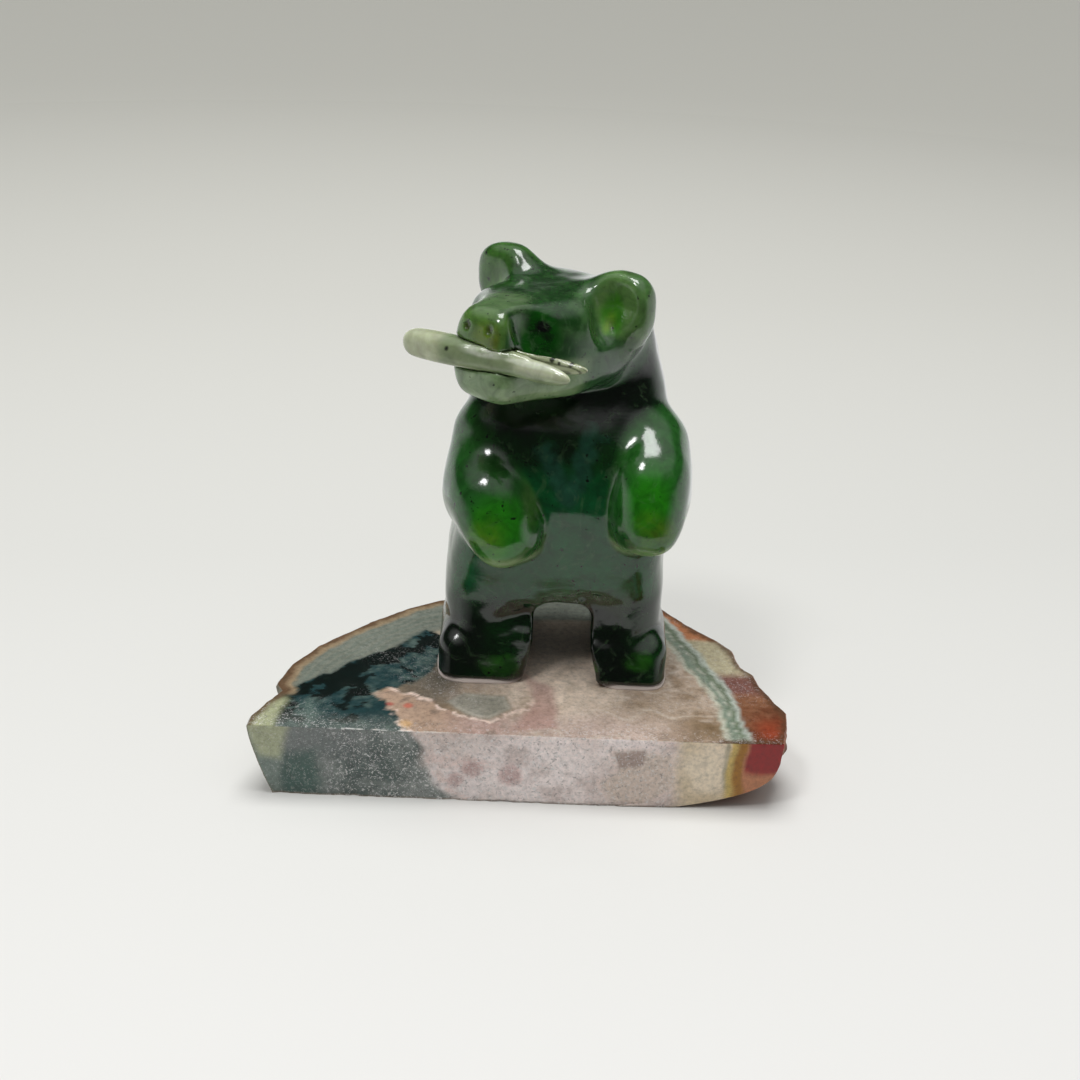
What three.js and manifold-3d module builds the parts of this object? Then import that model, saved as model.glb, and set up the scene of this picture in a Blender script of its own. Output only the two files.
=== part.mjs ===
// A standing bear carved from one block of dark green nephrite jade, holding a pale jade fish crosswise in its
// mouth. It is fixed by two thin pads of clear adhesive on a cut slab of banded agate.
//
// Millimetres, +Z up. The slab's sawn face looks along -Y, as the bear's belly does, and the origin is on the
// slab's underside, at the middle of its length and depth. The bear and the fish are free forms: their
// proportions are written in hundredths of the bear's height, in the bear's own frame, whose origin is between
// the soles. Each is a field, below zero inside the stone, which one mesher turns into a closed surface.
import * as THREE from "three";
import { mergeVertices } from "three/addons/utils/BufferGeometryUtils.js";
import Module from "manifold-3d";

// Driving sizes
const SLAB_LENGTH = 76;
const SLAB_DEPTH = 43.4;
const SLAB_THICKNESS = 11;
const BEAR_HEIGHT = 60; // soles to ear tips
const BEAR_OFFSET = 4.2; // the bear stands this far to the right of the slab's middle
const TOE_SETBACK = 14.1; // from the slab's sawn face to the toes
const ADHESIVE_THICKNESS = 0.7;
const ADHESIVE_MARGIN = 0.35; // how far a pad squeezes out past its foot
const FISH_LENGTH = 26.4;
const FISH_CLEARANCE = 0.3; // between the fish and the mouth cut for it

// Fineness of the meshes
const BEAR_CELL = 3.0;
const FISH_CELL = 1.0;
const RIND_STEPS = 4; // along each side of the slab's outline
const RIND_LEVELS = 5;

const UNIT = BEAR_HEIGHT / 100;
const SOLE_Z = SLAB_THICKNESS + ADHESIVE_THICKNESS;

const wasm = await Module();
wasm.setup();

// Small tools for fields
const mix = (a, b, t) => a + (b - a) * t;
const clamp01 = (t) => Math.min(1, Math.max(0, t));

function smoothUnion(a, b, radius) {
  const h = clamp01(0.5 + (0.5 * (b - a)) / radius);
  return mix(b, a, h) - radius * h * (1 - h);
}

const smoothCut = (a, b, radius) => -smoothUnion(-a, b, radius);

function ellipsoid([x, y, z], [cx, cy, cz], [rx, ry, rz]) {
  const [px, py, pz] = [x - cx, y - cy, z - cz];
  const k0 = Math.hypot(px / rx, py / ry, pz / rz);
  const k1 = Math.hypot(px / rx ** 2, py / ry ** 2, pz / rz ** 2);
  return k1 < 1e-9 ? -Math.min(rx, ry, rz) : (k0 * (k0 - 1)) / k1;
}

// An ellipsoid with blunter shoulders
function bluntEllipsoid(p, centre, size, power) {
  const sum = p.reduce((total, v, i) => total + (Math.abs(v - centre[i]) / size[i]) ** power, 0);
  return (sum ** (1 / power) - 1) * Math.min(...size);
}

function roundedBox([x, y, z], [cx, cy, cz], [hx, hy, hz], radius) {
  const [qx, qy, qz] = [
    Math.abs(x - cx) - hx + radius,
    Math.abs(y - cy) - hy + radius,
    Math.abs(z - cz) - hz + radius,
  ];
  const outside = Math.hypot(Math.max(qx, 0), Math.max(qy, 0), Math.max(qz, 0));
  return outside + Math.min(0, Math.max(qx, qy, qz)) - radius;
}

// A limb that tapers from radius ra at a to rb at b
function taperedLimb(p, a, b, ra, rb) {
  const ab = b.map((v, i) => v - a[i]);
  const ap = p.map((v, i) => v - a[i]);
  const dot = (u, v) => u[0] * v[0] + u[1] * v[1] + u[2] * v[2];
  const t = clamp01(dot(ap, ab) / dot(ab, ab));
  return Math.hypot(...ap.map((v, i) => v - ab[i] * t)) - mix(ra, rb, t);
}

// A value from a row of stations at an even step, on a smooth curve through them
function along(row, start, step, s) {
  const t = Math.min(row.length - 1.001, Math.max(0, (s - start) / step));
  const i = Math.floor(t);
  const at = (k) => row[Math.min(row.length - 1, Math.max(0, k))];
  const [a, b, c, d] = [at(i - 1), at(i), at(i + 1), at(i + 2)];
  const u = t - i;
  return b + 0.5 * u * (c - a + u * (2 * a - 5 * b + 4 * c - d + u * (3 * (b - c) + d - a)));
}

// A rounded oblong section: below zero inside half sizes w and d
function oblong(x, y, w, d, power) {
  const q = (Math.abs(x / w) ** power + Math.abs(y / d) ** power) ** (1 / power);
  return (q - 1) * Math.min(w, d);
}

// The bear's torso: middle, half width, front and back at every ten hundredths of its height
const TORSO = {
  start: 0,
  step: 10,
  middle: [-1.2, -1.1, -0.9, -0.5, 0.2, 0.6, 0.6, 0.4, 0.2, 0],
  half: [27.2, 28.0, 28.0, 27.2, 25.8, 25.0, 25.0, 23.4, 20.4, 16.5],
  front: [-19.2, -18.6, -17.8, -18.4, -19.4, -18.8, -15.8, -10.2, -6.2, -3.0],
  back: [15.8, 17.6, 18.5, 18.6, 18.8, 19.4, 20.2, 20.2, 17.6, 12.0],
  power: 3.8,
  taper: 0.0022, // narrower towards the front, for each hundredth
  top: 91,
};
const LEG_GROOVE = { centre: [1.0, -27.8, 15.6], size: [44, 12.2, 8.6] }; // hollows the legs under the belly

function torso([x, y, z]) {
  const value = (row) => along(row, TORSO.start, TORSO.step, z);
  const [front, back] = [value(TORSO.front), value(TORSO.back)];
  const [dx, dy] = [x - value(TORSO.middle), y - (front + back) / 2];
  const narrowed = dx * (1 + TORSO.taper * Math.min(36, Math.max(0, 18 - y)));
  const wall = oblong(narrowed, dy, value(TORSO.half), (back - front) / 2, TORSO.power);
  const grooved = smoothCut(wall, ellipsoid([x, y, z], LEG_GROOVE.centre, LEG_GROOVE.size), 1.6);
  return -smoothUnion(-grooved, TORSO.top - z, 4);
}

// The head, in its own frame: right, forward and up from its middle, turned to the bear's right
const HEAD = {
  centre: [-1.8, 0.9, 82.5],
  yaw: 35,
  start: -16,
  step: 8,
  half: [15.5, 18.0, 18.6, 18.0, 15.6, 10.4, 8.0],
  top: [8.4, 11.6, 12.2, 11.8, 11.6, 11.4, 10.8],
  bottom: [-10.0, -10.5, -11.0, -11.2, -11.2, -10.8, -10.0],
  power: 3.8,
  nose: 32.3,
  lean: 0.015, // the sides lean in towards the top
  nape: -17,
};
const SCOOP = { centre: [16.7, 26.4, 13.0], size: [11.6, 8.4, 16.0] }; // slants in beside the muzzle
const EARS = [
  { side: -1, centre: [16.4, -0.8, 9.2], size: [8.0, 4.8, 8.0], merge: 4.2, hollow: [0.4, 8.9, -1.6] },
  { side: 1, centre: [15.8, -0.8, 8.0], size: [7.8, 4.8, 7.8], merge: 4.4, hollow: [1.2, 6.2, 1.0] },
];
const EAR_HOLLOW = [4.4, 3.2, 5.8];

function turned([x, y, z], centre, degrees) {
  const [c, s] = [Math.cos((degrees * Math.PI) / 180), Math.sin((degrees * Math.PI) / 180)];
  const [px, py] = [x - centre[0], y - centre[1]];
  return [c * px - s * py, -s * px - c * py, z - centre[2]];
}

function head(point) {
  const p = turned(point, HEAD.centre, HEAD.yaw);
  const [right, forward, up] = p;
  const value = (row) => along(row, HEAD.start, HEAD.step, forward);
  const [top, bottom] = [value(HEAD.top), value(HEAD.bottom)];
  const across = right * (1 + HEAD.lean * Math.max(0, up));
  let d = oblong(across, up - (top + bottom) / 2, value(HEAD.half), (top - bottom) / 2, HEAD.power);
  d = -smoothUnion(-d, HEAD.nose - forward, 4.5);
  d = -smoothUnion(-d, forward - HEAD.nape, 8);
  for (const { side, centre, size, merge, hollow } of EARS) {
    const mirrored = [side * right, forward, up];
    const dish = centre.map((v, i) => v + hollow[i]);
    d = smoothCut(d, ellipsoid(mirrored, SCOOP.centre, SCOOP.size), 2.4);
    d = smoothUnion(d, bluntEllipsoid(mirrored, centre, size, 2.6), merge);
    d = smoothCut(d, ellipsoid(mirrored, dish, EAR_HOLLOW), 3.0);
  }
  return d;
}

// Arms: an upper arm and a blunt hanging paw. The right paw leans in and stands further forward.
const RIGHT_ARM = {
  shoulder: [-17.0, -4, 57],
  elbow: [-18.4, -9, 44],
  upper: [9.6, 9.6],
  paw: [-15.2, -15.2, 43.8],
  size: [9.6, 11.6, 13.0],
  lean: 30,
  slope: 0.3,
  flank: { point: [-9.9, -25.0, 48], normal: [0.727, -0.63, 0.276], round: 1.6 },
};
const LEFT_ARM = {
  shoulder: [18.2, -4, 57],
  elbow: [20.2, -8, 46],
  upper: [9.8, 9.6],
  paw: [20.0, -13.2, 48.8],
  size: [9.4, 12.6, 13.8],
  lean: -5,
  slope: 0.28,
  flank: { point: [13.2, -25.0, 48], normal: [-0.72, -0.69, 0], round: 2.6 },
};

function arm(p, { shoulder, elbow, upper, paw, size, lean, slope, flank }) {
  const [c, s] = [Math.cos((lean * Math.PI) / 180), Math.sin((lean * Math.PI) / 180)];
  const [x, y, z] = p.map((v, i) => v - paw[i]);
  const lobe = bluntEllipsoid([c * x + s * z, y - slope * z, c * z - s * x], [0, 0, 0], size, 2.5);
  const whole = smoothUnion(taperedLimb(p, shoulder, elbow, ...upper), lobe, 5);
  const cut = p.reduce((sum, v, i) => sum + (v - flank.point[i]) * flank.normal[i], 0);
  return -smoothUnion(-whole, -cut, flank.round);
}

// Feet: rounded blocks that stand out under the legs, with a front that leans back
const FOOT = { x: 17.4, shift: -0.6, y: -8.5, half: [10.6, 12.2], height: 10.8, round: 5, slope: 0.32 };

function foot(p, side) {
  const [hx, hy] = FOOT.half;
  const y = FOOT.y + FOOT.slope * p[2];
  return roundedBox(p, [side * FOOT.x + FOOT.shift, y, 0], [hx, hy, FOOT.height], FOOT.round);
}

const TAIL = { centre: [0.6, 19.0, 27], size: [4.6, 4.0, 5.2] };

const STOCK_BELOW = 3; // stone left under the soles until they are cut flat

function bearField(p) {
  let d = torso(p);
  d = smoothUnion(d, head(p), 2.6);
  d = smoothUnion(d, arm(p, RIGHT_ARM), 2);
  d = smoothUnion(d, arm(p, LEFT_ARM), 2);
  d = smoothUnion(d, foot(p, -1), 2.6);
  d = smoothUnion(d, foot(p, 1), 2.6);
  d = smoothUnion(d, ellipsoid(p, TAIL.centre, TAIL.size), 2);
  return Math.max(d, -STOCK_BELOW - p[2]);
}

// The fish, along +X from its head at the middle of its body: half height and half depth at even stations
const FISH = {
  half: [1.7, 1.95, 2.0, 1.95, 1.85, 1.7, 1.4],
  deep: [1.4, 1.9, 2.1, 2.0, 1.8, 1.6, 1.5],
  power: 2.4,
  body: 0.8, // the body's share of the length; the tail has the rest
  lobeSize: [4.8, 1.5, 1.3],
  lobeTurn: 17,
};

function fishField([x, y, z]) {
  const snout = -FISH_LENGTH / 2;
  const root = snout + FISH_LENGTH * FISH.body;
  const step = (root - snout) / (FISH.half.length - 1);
  const value = (row) => along(row, snout, step, x);
  let d = oblong(y, z, value(FISH.deep), value(FISH.half), FISH.power);
  d = -smoothUnion(-d, x - snout, 2.4);
  d = -smoothUnion(-d, root - x, 1.2);
  for (const side of [-1, 1]) {
    const a = (side * FISH.lobeTurn * Math.PI) / 180;
    const [px, py] = [x - (root - 1.5), y];
    const local = [Math.cos(a) * px + Math.sin(a) * py, -Math.sin(a) * px + Math.cos(a) * py, z];
    d = smoothUnion(d, ellipsoid(local, [FISH.lobeSize[0] * 0.62, 0, 0], FISH.lobeSize), 0.6);
  }
  return d;
}

// Turns a field into a closed mesh: one vertex in each cell that the surface crosses, drawn onto the surface,
// and one quad across each grid edge whose ends lie on different sides
function meshField(field, low, high, cell) {
  const count = low.map((v, i) => Math.ceil((high[i] - v) / cell) + 1);
  const [nx, ny, nz] = count;
  const at = (i, j, k) => (k * ny + j) * nx + i;
  const values = new Float64Array(nx * ny * nz);
  for (let k = 0; k < nz; k++)
    for (let j = 0; j < ny; j++)
      for (let i = 0; i < nx; i++)
        values[at(i, j, k)] = field([low[0] + i * cell, low[1] + j * cell, low[2] + k * cell]);
  const corners = [0, 1, 2, 3, 4, 5, 6, 7].map((c) => [c & 1, (c >> 1) & 1, c >> 2]);
  const vertexOf = new Map();
  const positions = [];
  for (let k = 0; k < nz - 1; k++)
    for (let j = 0; j < ny - 1; j++)
      for (let i = 0; i < nx - 1; i++) {
        const v = corners.map(([a, b, c]) => values[at(i + a, j + b, k + c)]);
        if (v.every((x) => x < 0) || v.every((x) => x >= 0)) continue;
        vertexOf.set(at(i, j, k), positions.length / 3);
        positions.push(...ontoSurface(field, crossingMean(v, corners, [i, j, k], low, cell), cell));
      }
  const index = [];
  const steps = [1, nx, nx * ny];
  for (let k = 1; k < nz - 1; k++)
    for (let j = 1; j < ny - 1; j++)
      for (let i = 1; i < nx - 1; i++)
        for (let axis = 0; axis < 3; axis++) {
          const here = at(i, j, k);
          const inside = values[here] < 0;
          if (inside === values[here + steps[axis]] < 0) continue;
          const [u, w] = [steps[(axis + 1) % 3], steps[(axis + 2) % 3]];
          const [a, b, c, d] = [here, here - u, here - u - w, here - w].map((n) => vertexOf.get(n));
          index.push(...(inside ? [a, b, c, a, c, d] : [a, c, b, a, d, c]));
        }
  const geometry = new THREE.BufferGeometry();
  geometry.setAttribute("position", new THREE.Float32BufferAttribute(positions, 3));
  geometry.setIndex(index);
  return geometry;
}

// The mean of the points where the cell's edges cross the surface
function crossingMean(v, corners, origin, low, cell) {
  const sum = [0, 0, 0];
  let found = 0;
  for (let a = 0; a < 8; a++)
    for (const bit of [1, 2, 4]) {
      const b = a | bit;
      if (b === a || v[a] < 0 === v[b] < 0) continue;
      const t = v[a] / (v[a] - v[b]);
      for (let n = 0; n < 3; n++) sum[n] += mix(corners[a][n], corners[b][n], t);
      found++;
    }
  return sum.map((s, n) => low[n] + (origin[n] + s / found) * cell);
}

// Two short steps down the field's slope, kept within half a cell
function ontoSurface(field, start, cell) {
  const e = cell * 0.02;
  let p = start;
  for (let pass = 0; pass < 2; pass++) {
    const value = field(p);
    const slope = [0, 1, 2].map((n) => {
      const [a, b] = [[...p], [...p]];
      a[n] += e;
      b[n] -= e;
      return (field(a) - field(b)) / (2 * e);
    });
    const steep = Math.max(0.2, slope[0] ** 2 + slope[1] ** 2 + slope[2] ** 2);
    p = p.map((x, n) => x - (value * slope[n]) / steep);
  }
  const reach = 0.5 * cell;
  return p.map((x, n) => Math.min(start[n] + reach, Math.max(start[n] - reach, x)));
}

// Closed three.js geometry to a manifold-3d solid, and back
function solidOf(geometry) {
  const bare = geometry.clone();
  for (const name of ["normal", "uv"]) bare.deleteAttribute(name);
  const merged = mergeVertices(bare, 1e-4);
  return new wasm.Manifold(
    new wasm.Mesh({
      numProp: 3,
      vertProperties: new Float32Array(merged.attributes.position.array),
      triVerts: new Uint32Array(merged.index.array),
    }),
  );
}

function geometryOf(solid) {
  const mesh = solid.getMesh();
  const geometry = new THREE.BufferGeometry();
  geometry.setAttribute("position", new THREE.BufferAttribute(mesh.vertProperties, 3));
  geometry.setIndex(new THREE.BufferAttribute(mesh.triVerts, 1));
  geometry.computeVertexNormals();
  return geometry;
}

// The arch between the legs: an outline in the bear's own frame, cut straight through from front to back
const ARCH = { left: -5.6, right: 8.4, splay: 1.4, height: 18.4, round: 3.6 };

function archSolid() {
  const { left, right, splay, height, round } = ARCH;
  const shape = new THREE.Shape();
  shape.moveTo(left - splay * 1.3, -4);
  shape.lineTo(right + splay * 1.6, -4);
  shape.quadraticCurveTo(right + splay * 0.4, 4, right, 9);
  shape.absarc(right - round, height - round, round, 0, Math.PI / 2);
  shape.absarc(left + round, height - round, round, Math.PI / 2, Math.PI);
  shape.closePath();
  const geometry = new THREE.ExtrudeGeometry(shape, { depth: 60, bevelEnabled: false, curveSegments: 5 });
  geometry.translate(0, 0, -30);
  geometry.rotateX(Math.PI / 2);
  return solidOf(geometry);
}

// The fish's place in the mouth, in the bear's own frame
const FISH_PLACE = { position: [-17.4, -24.8, 82.8], yaw: -25, roll: -1.2 };

function fishMatrix() {
  const radians = Math.PI / 180;
  const turn = new THREE.Euler(0, -FISH_PLACE.roll * radians, FISH_PLACE.yaw * radians, "ZYX");
  const place = new THREE.Vector3(...FISH_PLACE.position).multiplyScalar(UNIT);
  return new THREE.Matrix4().compose(place, new THREE.Quaternion().setFromEuler(turn), new THREE.Vector3(1, 1, 1));
}

// The fish, or with a swell the room cut for it, which opens to the front so nothing hangs before the fish
const MOUTH_FRONT = 5;

function fishGeometry(swell) {
  const front = swell > 0 ? MOUTH_FRONT : 0;
  const reach = [FISH_LENGTH / 2 + 3, 6, 5];
  const low = [-reach[0], -reach[1] - front, -reach[2]];
  const field = ([x, y, z]) => fishField([x, y + Math.min(front, Math.max(0, -y)), z]) - swell;
  return meshField(field, low, reach, FISH_CELL).applyMatrix4(fishMatrix());
}

function bearGeometry() {
  const surface = meshField(bearField, [-36, -36, -6.2], [36, 28, 106], BEAR_CELL);
  const ground = new THREE.BoxGeometry(120, 120, 20).translate(0, 0, -10);
  const carved = solidOf(surface).subtract(solidOf(ground)).subtract(archSolid());
  const sized = solidOf(geometryOf(carved).scale(UNIT, UNIT, UNIT));
  return geometryOf(sized.subtract(solidOf(fishGeometry(FISH_CLEARANCE))));
}

// The slab: a slice of a nodule. Its front is sawn straight and its top is polished. The rest is natural rind,
// which leans in towards the underside, most of all under the right end. The outline of the top runs from the
// left tip round the back to the right end, as shares of the length from its middle and of the depth from the
// sawn face.
const SLAB_OUTLINE = [
  [-0.5, 0.0], [-0.498, 0.06], [-0.478, 0.145], [-0.456, 0.22], [-0.47, 0.26], [-0.454, 0.4], [-0.415, 0.53],
  [-0.373, 0.62], [-0.31, 0.75], [-0.255, 0.84], [-0.19, 0.92], [-0.08, 0.98], [0.05, 1.0], [0.18, 1.0],
  [0.268, 0.975], [0.298, 0.895], [0.333, 0.81], [0.392, 0.695], [0.418, 0.625], [0.428, 0.515], [0.45, 0.465],
  [0.458, 0.385], [0.482, 0.28], [0.5, 0.215], [0.497, 0.155], [0.48, 0.024], [0.38, 0.014],
];
const RIND = { lean: 3.2, curl: 1.4, underRight: 15, underCurl: 4.2, rough: 0.3, pits: [0.35, 1.1, 2.3] };

function rindPoint([u, v], n, height) {
  const [x, y] = [u * SLAB_LENGTH, v * SLAB_DEPTH];
  const reach = Math.hypot(x, y);
  const toRight = Math.max(0, x / reach) ** 3;
  const left = (1 - height) ** RIND.curl * RIND.lean * (1 - toRight);
  const lean = left + (1 - height) ** RIND.underCurl * RIND.underRight * toRight;
  const [a, b, c] = RIND.pits;
  const grain = Math.sin(a * 40 * n + 7 * height) + Math.sin(b * 13 * n - 9 * height) + Math.sin(c * n + 5 * height);
  const away = Math.min(1, v * 8) * (height > 0.99 ? 0.5 : 1);
  const scale = 1 - (lean + RIND.rough * grain * away * 0.5) / reach;
  return [x * scale, y * scale - SLAB_DEPTH / 2];
}

function outlinePoints() {
  const points = [];
  for (let n = 0; n < SLAB_OUTLINE.length - 1; n++)
    for (let k = 0; k < RIND_STEPS; k++) {
      const t = k / RIND_STEPS;
      points.push(SLAB_OUTLINE[n].map((v, i) => mix(v, SLAB_OUTLINE[n + 1][i], t)));
    }
  return [...points, SLAB_OUTLINE.at(-1)];
}

function slabGeometry() {
  const outline = outlinePoints();
  const ring = outline.length;
  const positions = [];
  for (let level = 0; level <= RIND_LEVELS; level++) {
    const share = level / RIND_LEVELS;
    outline.forEach((point, n) => positions.push(...rindPoint(point, n, share), share * SLAB_THICKNESS));
  }
  const index = [];
  for (let level = 0; level < RIND_LEVELS; level++)
    for (let n = 0; n < ring; n++) {
      const [a, b] = [level * ring + n, level * ring + ((n + 1) % ring)];
      index.push(a, a + ring, b, b, a + ring, b + ring);
    }
  const face = (from) => {
    const points = [...Array(ring).keys()].map((n) => 3 * (from + n));
    return THREE.ShapeUtils.triangulateShape(points.map((k) => new THREE.Vector2(positions[k], positions[k + 1])), []);
  };
  const last = RIND_LEVELS * ring;
  for (const corners of face(last)) index.push(...corners.map((c) => last + c));
  for (const [a, b, c] of face(0)) index.push(a, c, b);
  const geometry = new THREE.BufferGeometry();
  geometry.setAttribute("position", new THREE.Float32BufferAttribute(positions, 3));
  geometry.setIndex(index);
  geometry.computeBoundingBox();
  const middle = geometry.boundingBox.getCenter(new THREE.Vector3());
  geometry.translate(-middle.x, -middle.y, 0);
  return geometryOf(solidOf(geometry));
}

// A thin pad of clear adhesive under one foot, from the arch to the outside of the foot and a little past both
function padGeometry(side) {
  const inner = side < 0 ? ARCH.left - ARCH.splay * 1.3 : ARCH.right + ARCH.splay * 1.6;
  const outer = side * (FOOT.x + FOOT.half[0]) + FOOT.shift;
  const [low, high] = [Math.min(inner, outer) * UNIT - ADHESIVE_MARGIN, Math.max(inner, outer) * UNIT + ADHESIVE_MARGIN];
  const front = (FOOT.y - FOOT.half[1]) * UNIT - ADHESIVE_MARGIN;
  const back = TORSO.back[0] * UNIT + ADHESIVE_MARGIN;
  const round = FOOT.round * UNIT * 0.8;
  const shape = new THREE.Shape();
  shape.moveTo(low + round, front);
  shape.absarc(high - round, front + round, round, -Math.PI / 2, 0);
  shape.absarc(high - round, back - round, round, 0, Math.PI / 2);
  shape.absarc(low + round, back - round, round, Math.PI / 2, Math.PI);
  shape.absarc(low + round, front + round, round, Math.PI, 1.5 * Math.PI);
  const geometry = new THREE.ExtrudeGeometry(shape, { depth: ADHESIVE_THICKNESS, bevelEnabled: false, curveSegments: 6 });
  return geometry.translate(0, 0, -ADHESIVE_THICKNESS);
}

// The parts
const darkJade = new THREE.MeshStandardMaterial({ color: 0x12401f, roughness: 0.12, metalness: 0 });
const paleJade = new THREE.MeshStandardMaterial({ color: 0xa9b88c, roughness: 0.15, metalness: 0 });
const agate = new THREE.MeshStandardMaterial({ color: 0xb3a49a, roughness: 0.3, metalness: 0 });
const adhesive = new THREE.MeshStandardMaterial({ color: 0xd8d2c4, roughness: 0.1, metalness: 0 });

function named(name, geometry, material) {
  const mesh = new THREE.Mesh(geometry, material);
  mesh.name = name;
  return mesh;
}

const carving = new THREE.Group();
carving.position.set(BEAR_OFFSET, TOE_SETBACK - SLAB_DEPTH / 2 + (FOOT.half[1] - FOOT.y) * UNIT, SOLE_Z);
carving.add(named("bear", bearGeometry(), darkJade));
carving.add(named("fish", fishGeometry(0), paleJade));
carving.add(named("adhesive_right_foot", padGeometry(-1), adhesive));
carving.add(named("adhesive_left_foot", padGeometry(1), adhesive));

const part = new THREE.Group();
part.add(named("agate_slab", slabGeometry(), agate), carving);

export default part;
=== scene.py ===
# The looks of a small jade carving: an upright bear of dark green nephrite with a pale jade fish crosswise in
# its mouth, fixed by clear adhesive to a cut slab of banded agate.
#
# The CAD part gives every place and size. The bear and the fish are carved again from the same proportions,
# in hundredths of the bear's height, finely enough for their soft edges, creases and polish. The slab repeats
# the CAD outline with a rough rind and painted bands.
import math

import bpy
import numpy as np
from mathutils import Matrix, Vector


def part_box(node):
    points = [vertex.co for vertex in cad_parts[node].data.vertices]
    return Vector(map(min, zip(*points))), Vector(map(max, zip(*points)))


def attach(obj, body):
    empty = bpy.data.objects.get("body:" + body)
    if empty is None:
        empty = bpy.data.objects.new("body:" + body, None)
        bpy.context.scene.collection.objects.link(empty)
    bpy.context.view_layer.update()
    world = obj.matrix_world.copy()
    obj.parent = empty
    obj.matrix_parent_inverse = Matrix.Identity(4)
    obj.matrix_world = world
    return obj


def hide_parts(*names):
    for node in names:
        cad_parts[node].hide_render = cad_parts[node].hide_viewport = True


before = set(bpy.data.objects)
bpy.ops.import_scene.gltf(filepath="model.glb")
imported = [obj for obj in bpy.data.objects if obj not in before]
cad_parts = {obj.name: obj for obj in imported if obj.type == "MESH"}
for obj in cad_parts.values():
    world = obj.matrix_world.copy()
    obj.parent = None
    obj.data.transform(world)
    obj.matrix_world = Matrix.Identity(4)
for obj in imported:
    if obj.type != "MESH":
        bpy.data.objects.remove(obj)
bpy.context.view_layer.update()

MM = 0.001
bear_low, bear_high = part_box("bear")
slab_low, slab_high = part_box("agate_slab")

# Fineness of the meshes
BEAR_CELL = 0.55  # hundredths of the bear's height
FISH_CELL = 0.24
COARSE = 4  # cells in the side of a block that is skipped when it lies far from the surface
BEAR_REACH = ((-36, -36, -1.5), (36, 28, 104))  # opposite corners of the bear's grid


# Small tools for fields


def mix(a, b, t):
    return a + (b - a) * t


def smooth_union(a, b, radius):
    h = np.clip(0.5 + 0.5 * (b - a) / radius, 0, 1)
    return mix(b, a, h) - radius * h * (1 - h)


def smooth_cut(a, b, radius):
    return -smooth_union(-a, b, radius)


def smooth_both(a, b, radius):
    return -smooth_union(-a, -b, radius)


def fade(low, high, value):
    t = np.clip((value - low) / (high - low), 0, 1)
    return t * t * (3 - 2 * t)


def ellipsoid(p, centre, size):
    q = p - np.array(centre)
    k0 = np.linalg.norm(q / size, axis=1)
    k1 = np.linalg.norm(q / np.square(size), axis=1)
    return k0 * (k0 - 1) / np.maximum(k1, 1e-6)


def blunt_ellipsoid(p, size, power):
    total = sum((np.abs(p[:, i]) / size[i]) ** power for i in range(3))
    return (total ** (1 / power) - 1) * min(size)


def rounded_box(p, centre, half, radius):
    q = np.abs(p - np.array(centre)) - np.array(half) + radius
    return np.linalg.norm(np.maximum(q, 0), axis=1) + np.minimum(q.max(axis=1), 0) - radius


def tapered_limb(p, a, b, ra, rb):
    a, b = np.array(a), np.array(b)
    t = np.clip((p - a) @ (b - a) / ((b - a) @ (b - a)), 0, 1)
    return np.linalg.norm(p - a - t[:, None] * (b - a), axis=1) - mix(ra, rb, t)


def along(row, start, step, s):
    """A value from a row of stations at an even step, on a smooth curve through them."""
    row = np.array(row)
    t = np.clip((s - start) / step, 0, len(row) - 1.001)
    i = t.astype(int)
    u = t - i
    a, b, c, d = (row[np.clip(i + k, 0, len(row) - 1)] for k in (-1, 0, 1, 2))
    return b + 0.5 * u * (c - a + u * (2 * a - 5 * b + 4 * c - d + u * (3 * (b - c) + d - a)))


def oblong(x, y, w, d, power):
    q = (np.abs(x / w) ** power + np.abs(y / d) ** power) ** (1 / power)
    return (q - 1) * np.minimum(w, d)


def value_noise(p, scale, seed=0):
    """Smooth noise from -1 to 1 on a lattice of the given spacing."""
    q = p / scale + seed * 17.31
    base = np.floor(q).astype(np.int64)
    f = q - base
    f = f * f * (3 - 2 * f)
    total = np.zeros(len(p))
    for corner in range(8):
        bits = np.array([corner & 1, (corner >> 1) & 1, corner >> 2])
        n = base + bits
        h = (n[:, 0] * 374761393 + n[:, 1] * 668265263 + n[:, 2] * 2147483647 + seed * 974634777) & 0x7FFFFFFF
        h = ((h ^ (h >> 13)) * 1274126177) & 0x7FFFFFFF
        weight = np.prod(np.where(bits, f, 1 - f), axis=1)
        total += weight * ((h ^ (h >> 16)) % 65536 / 32767.5 - 1)
    return total


def layered_noise(p, scale, layers=4, seed=0):
    parts = [value_noise(p, scale / 2**k, seed + k) * 0.5**k for k in range(layers)]
    return sum(parts) / (2 - 0.5 ** (layers - 1))


# Small tools for paint


def near(p, centre, size, soft=0.5):
    """1 close to a centre, falling to 0 at the given size."""
    return fade(1, 1 - soft, np.linalg.norm((p - np.array(centre)) / np.array(size), axis=1))


def near_line(p, line):
    """Distance from points to a line through the given corners."""
    best = np.full(len(p), 1e9)
    for a, b in zip(np.array(line[:-1], float), np.array(line[1:], float)):
        t = np.clip((p - a) @ (b - a) / ((b - a) @ (b - a)), 0, 1)
        best = np.minimum(best, np.linalg.norm(p - a - t[:, None] * (b - a), axis=1))
    return best


def inside_of(p, corners):
    """Signed distance to a closed outline, below zero inside it."""
    closed = np.array([*corners, corners[0]], float)
    inside = np.zeros(len(p), bool)
    for a, b in zip(closed[:-1], closed[1:]):
        crosses = (a[1] > p[:, 1]) != (b[1] > p[:, 1])
        rise = b[1] - a[1] if b[1] != a[1] else 1e-9
        inside ^= crosses & (p[:, 0] < (b[0] - a[0]) * (p[:, 1] - a[1]) / rise + a[0])
    return near_line(p, closed) * np.where(inside, -1, 1)


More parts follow.
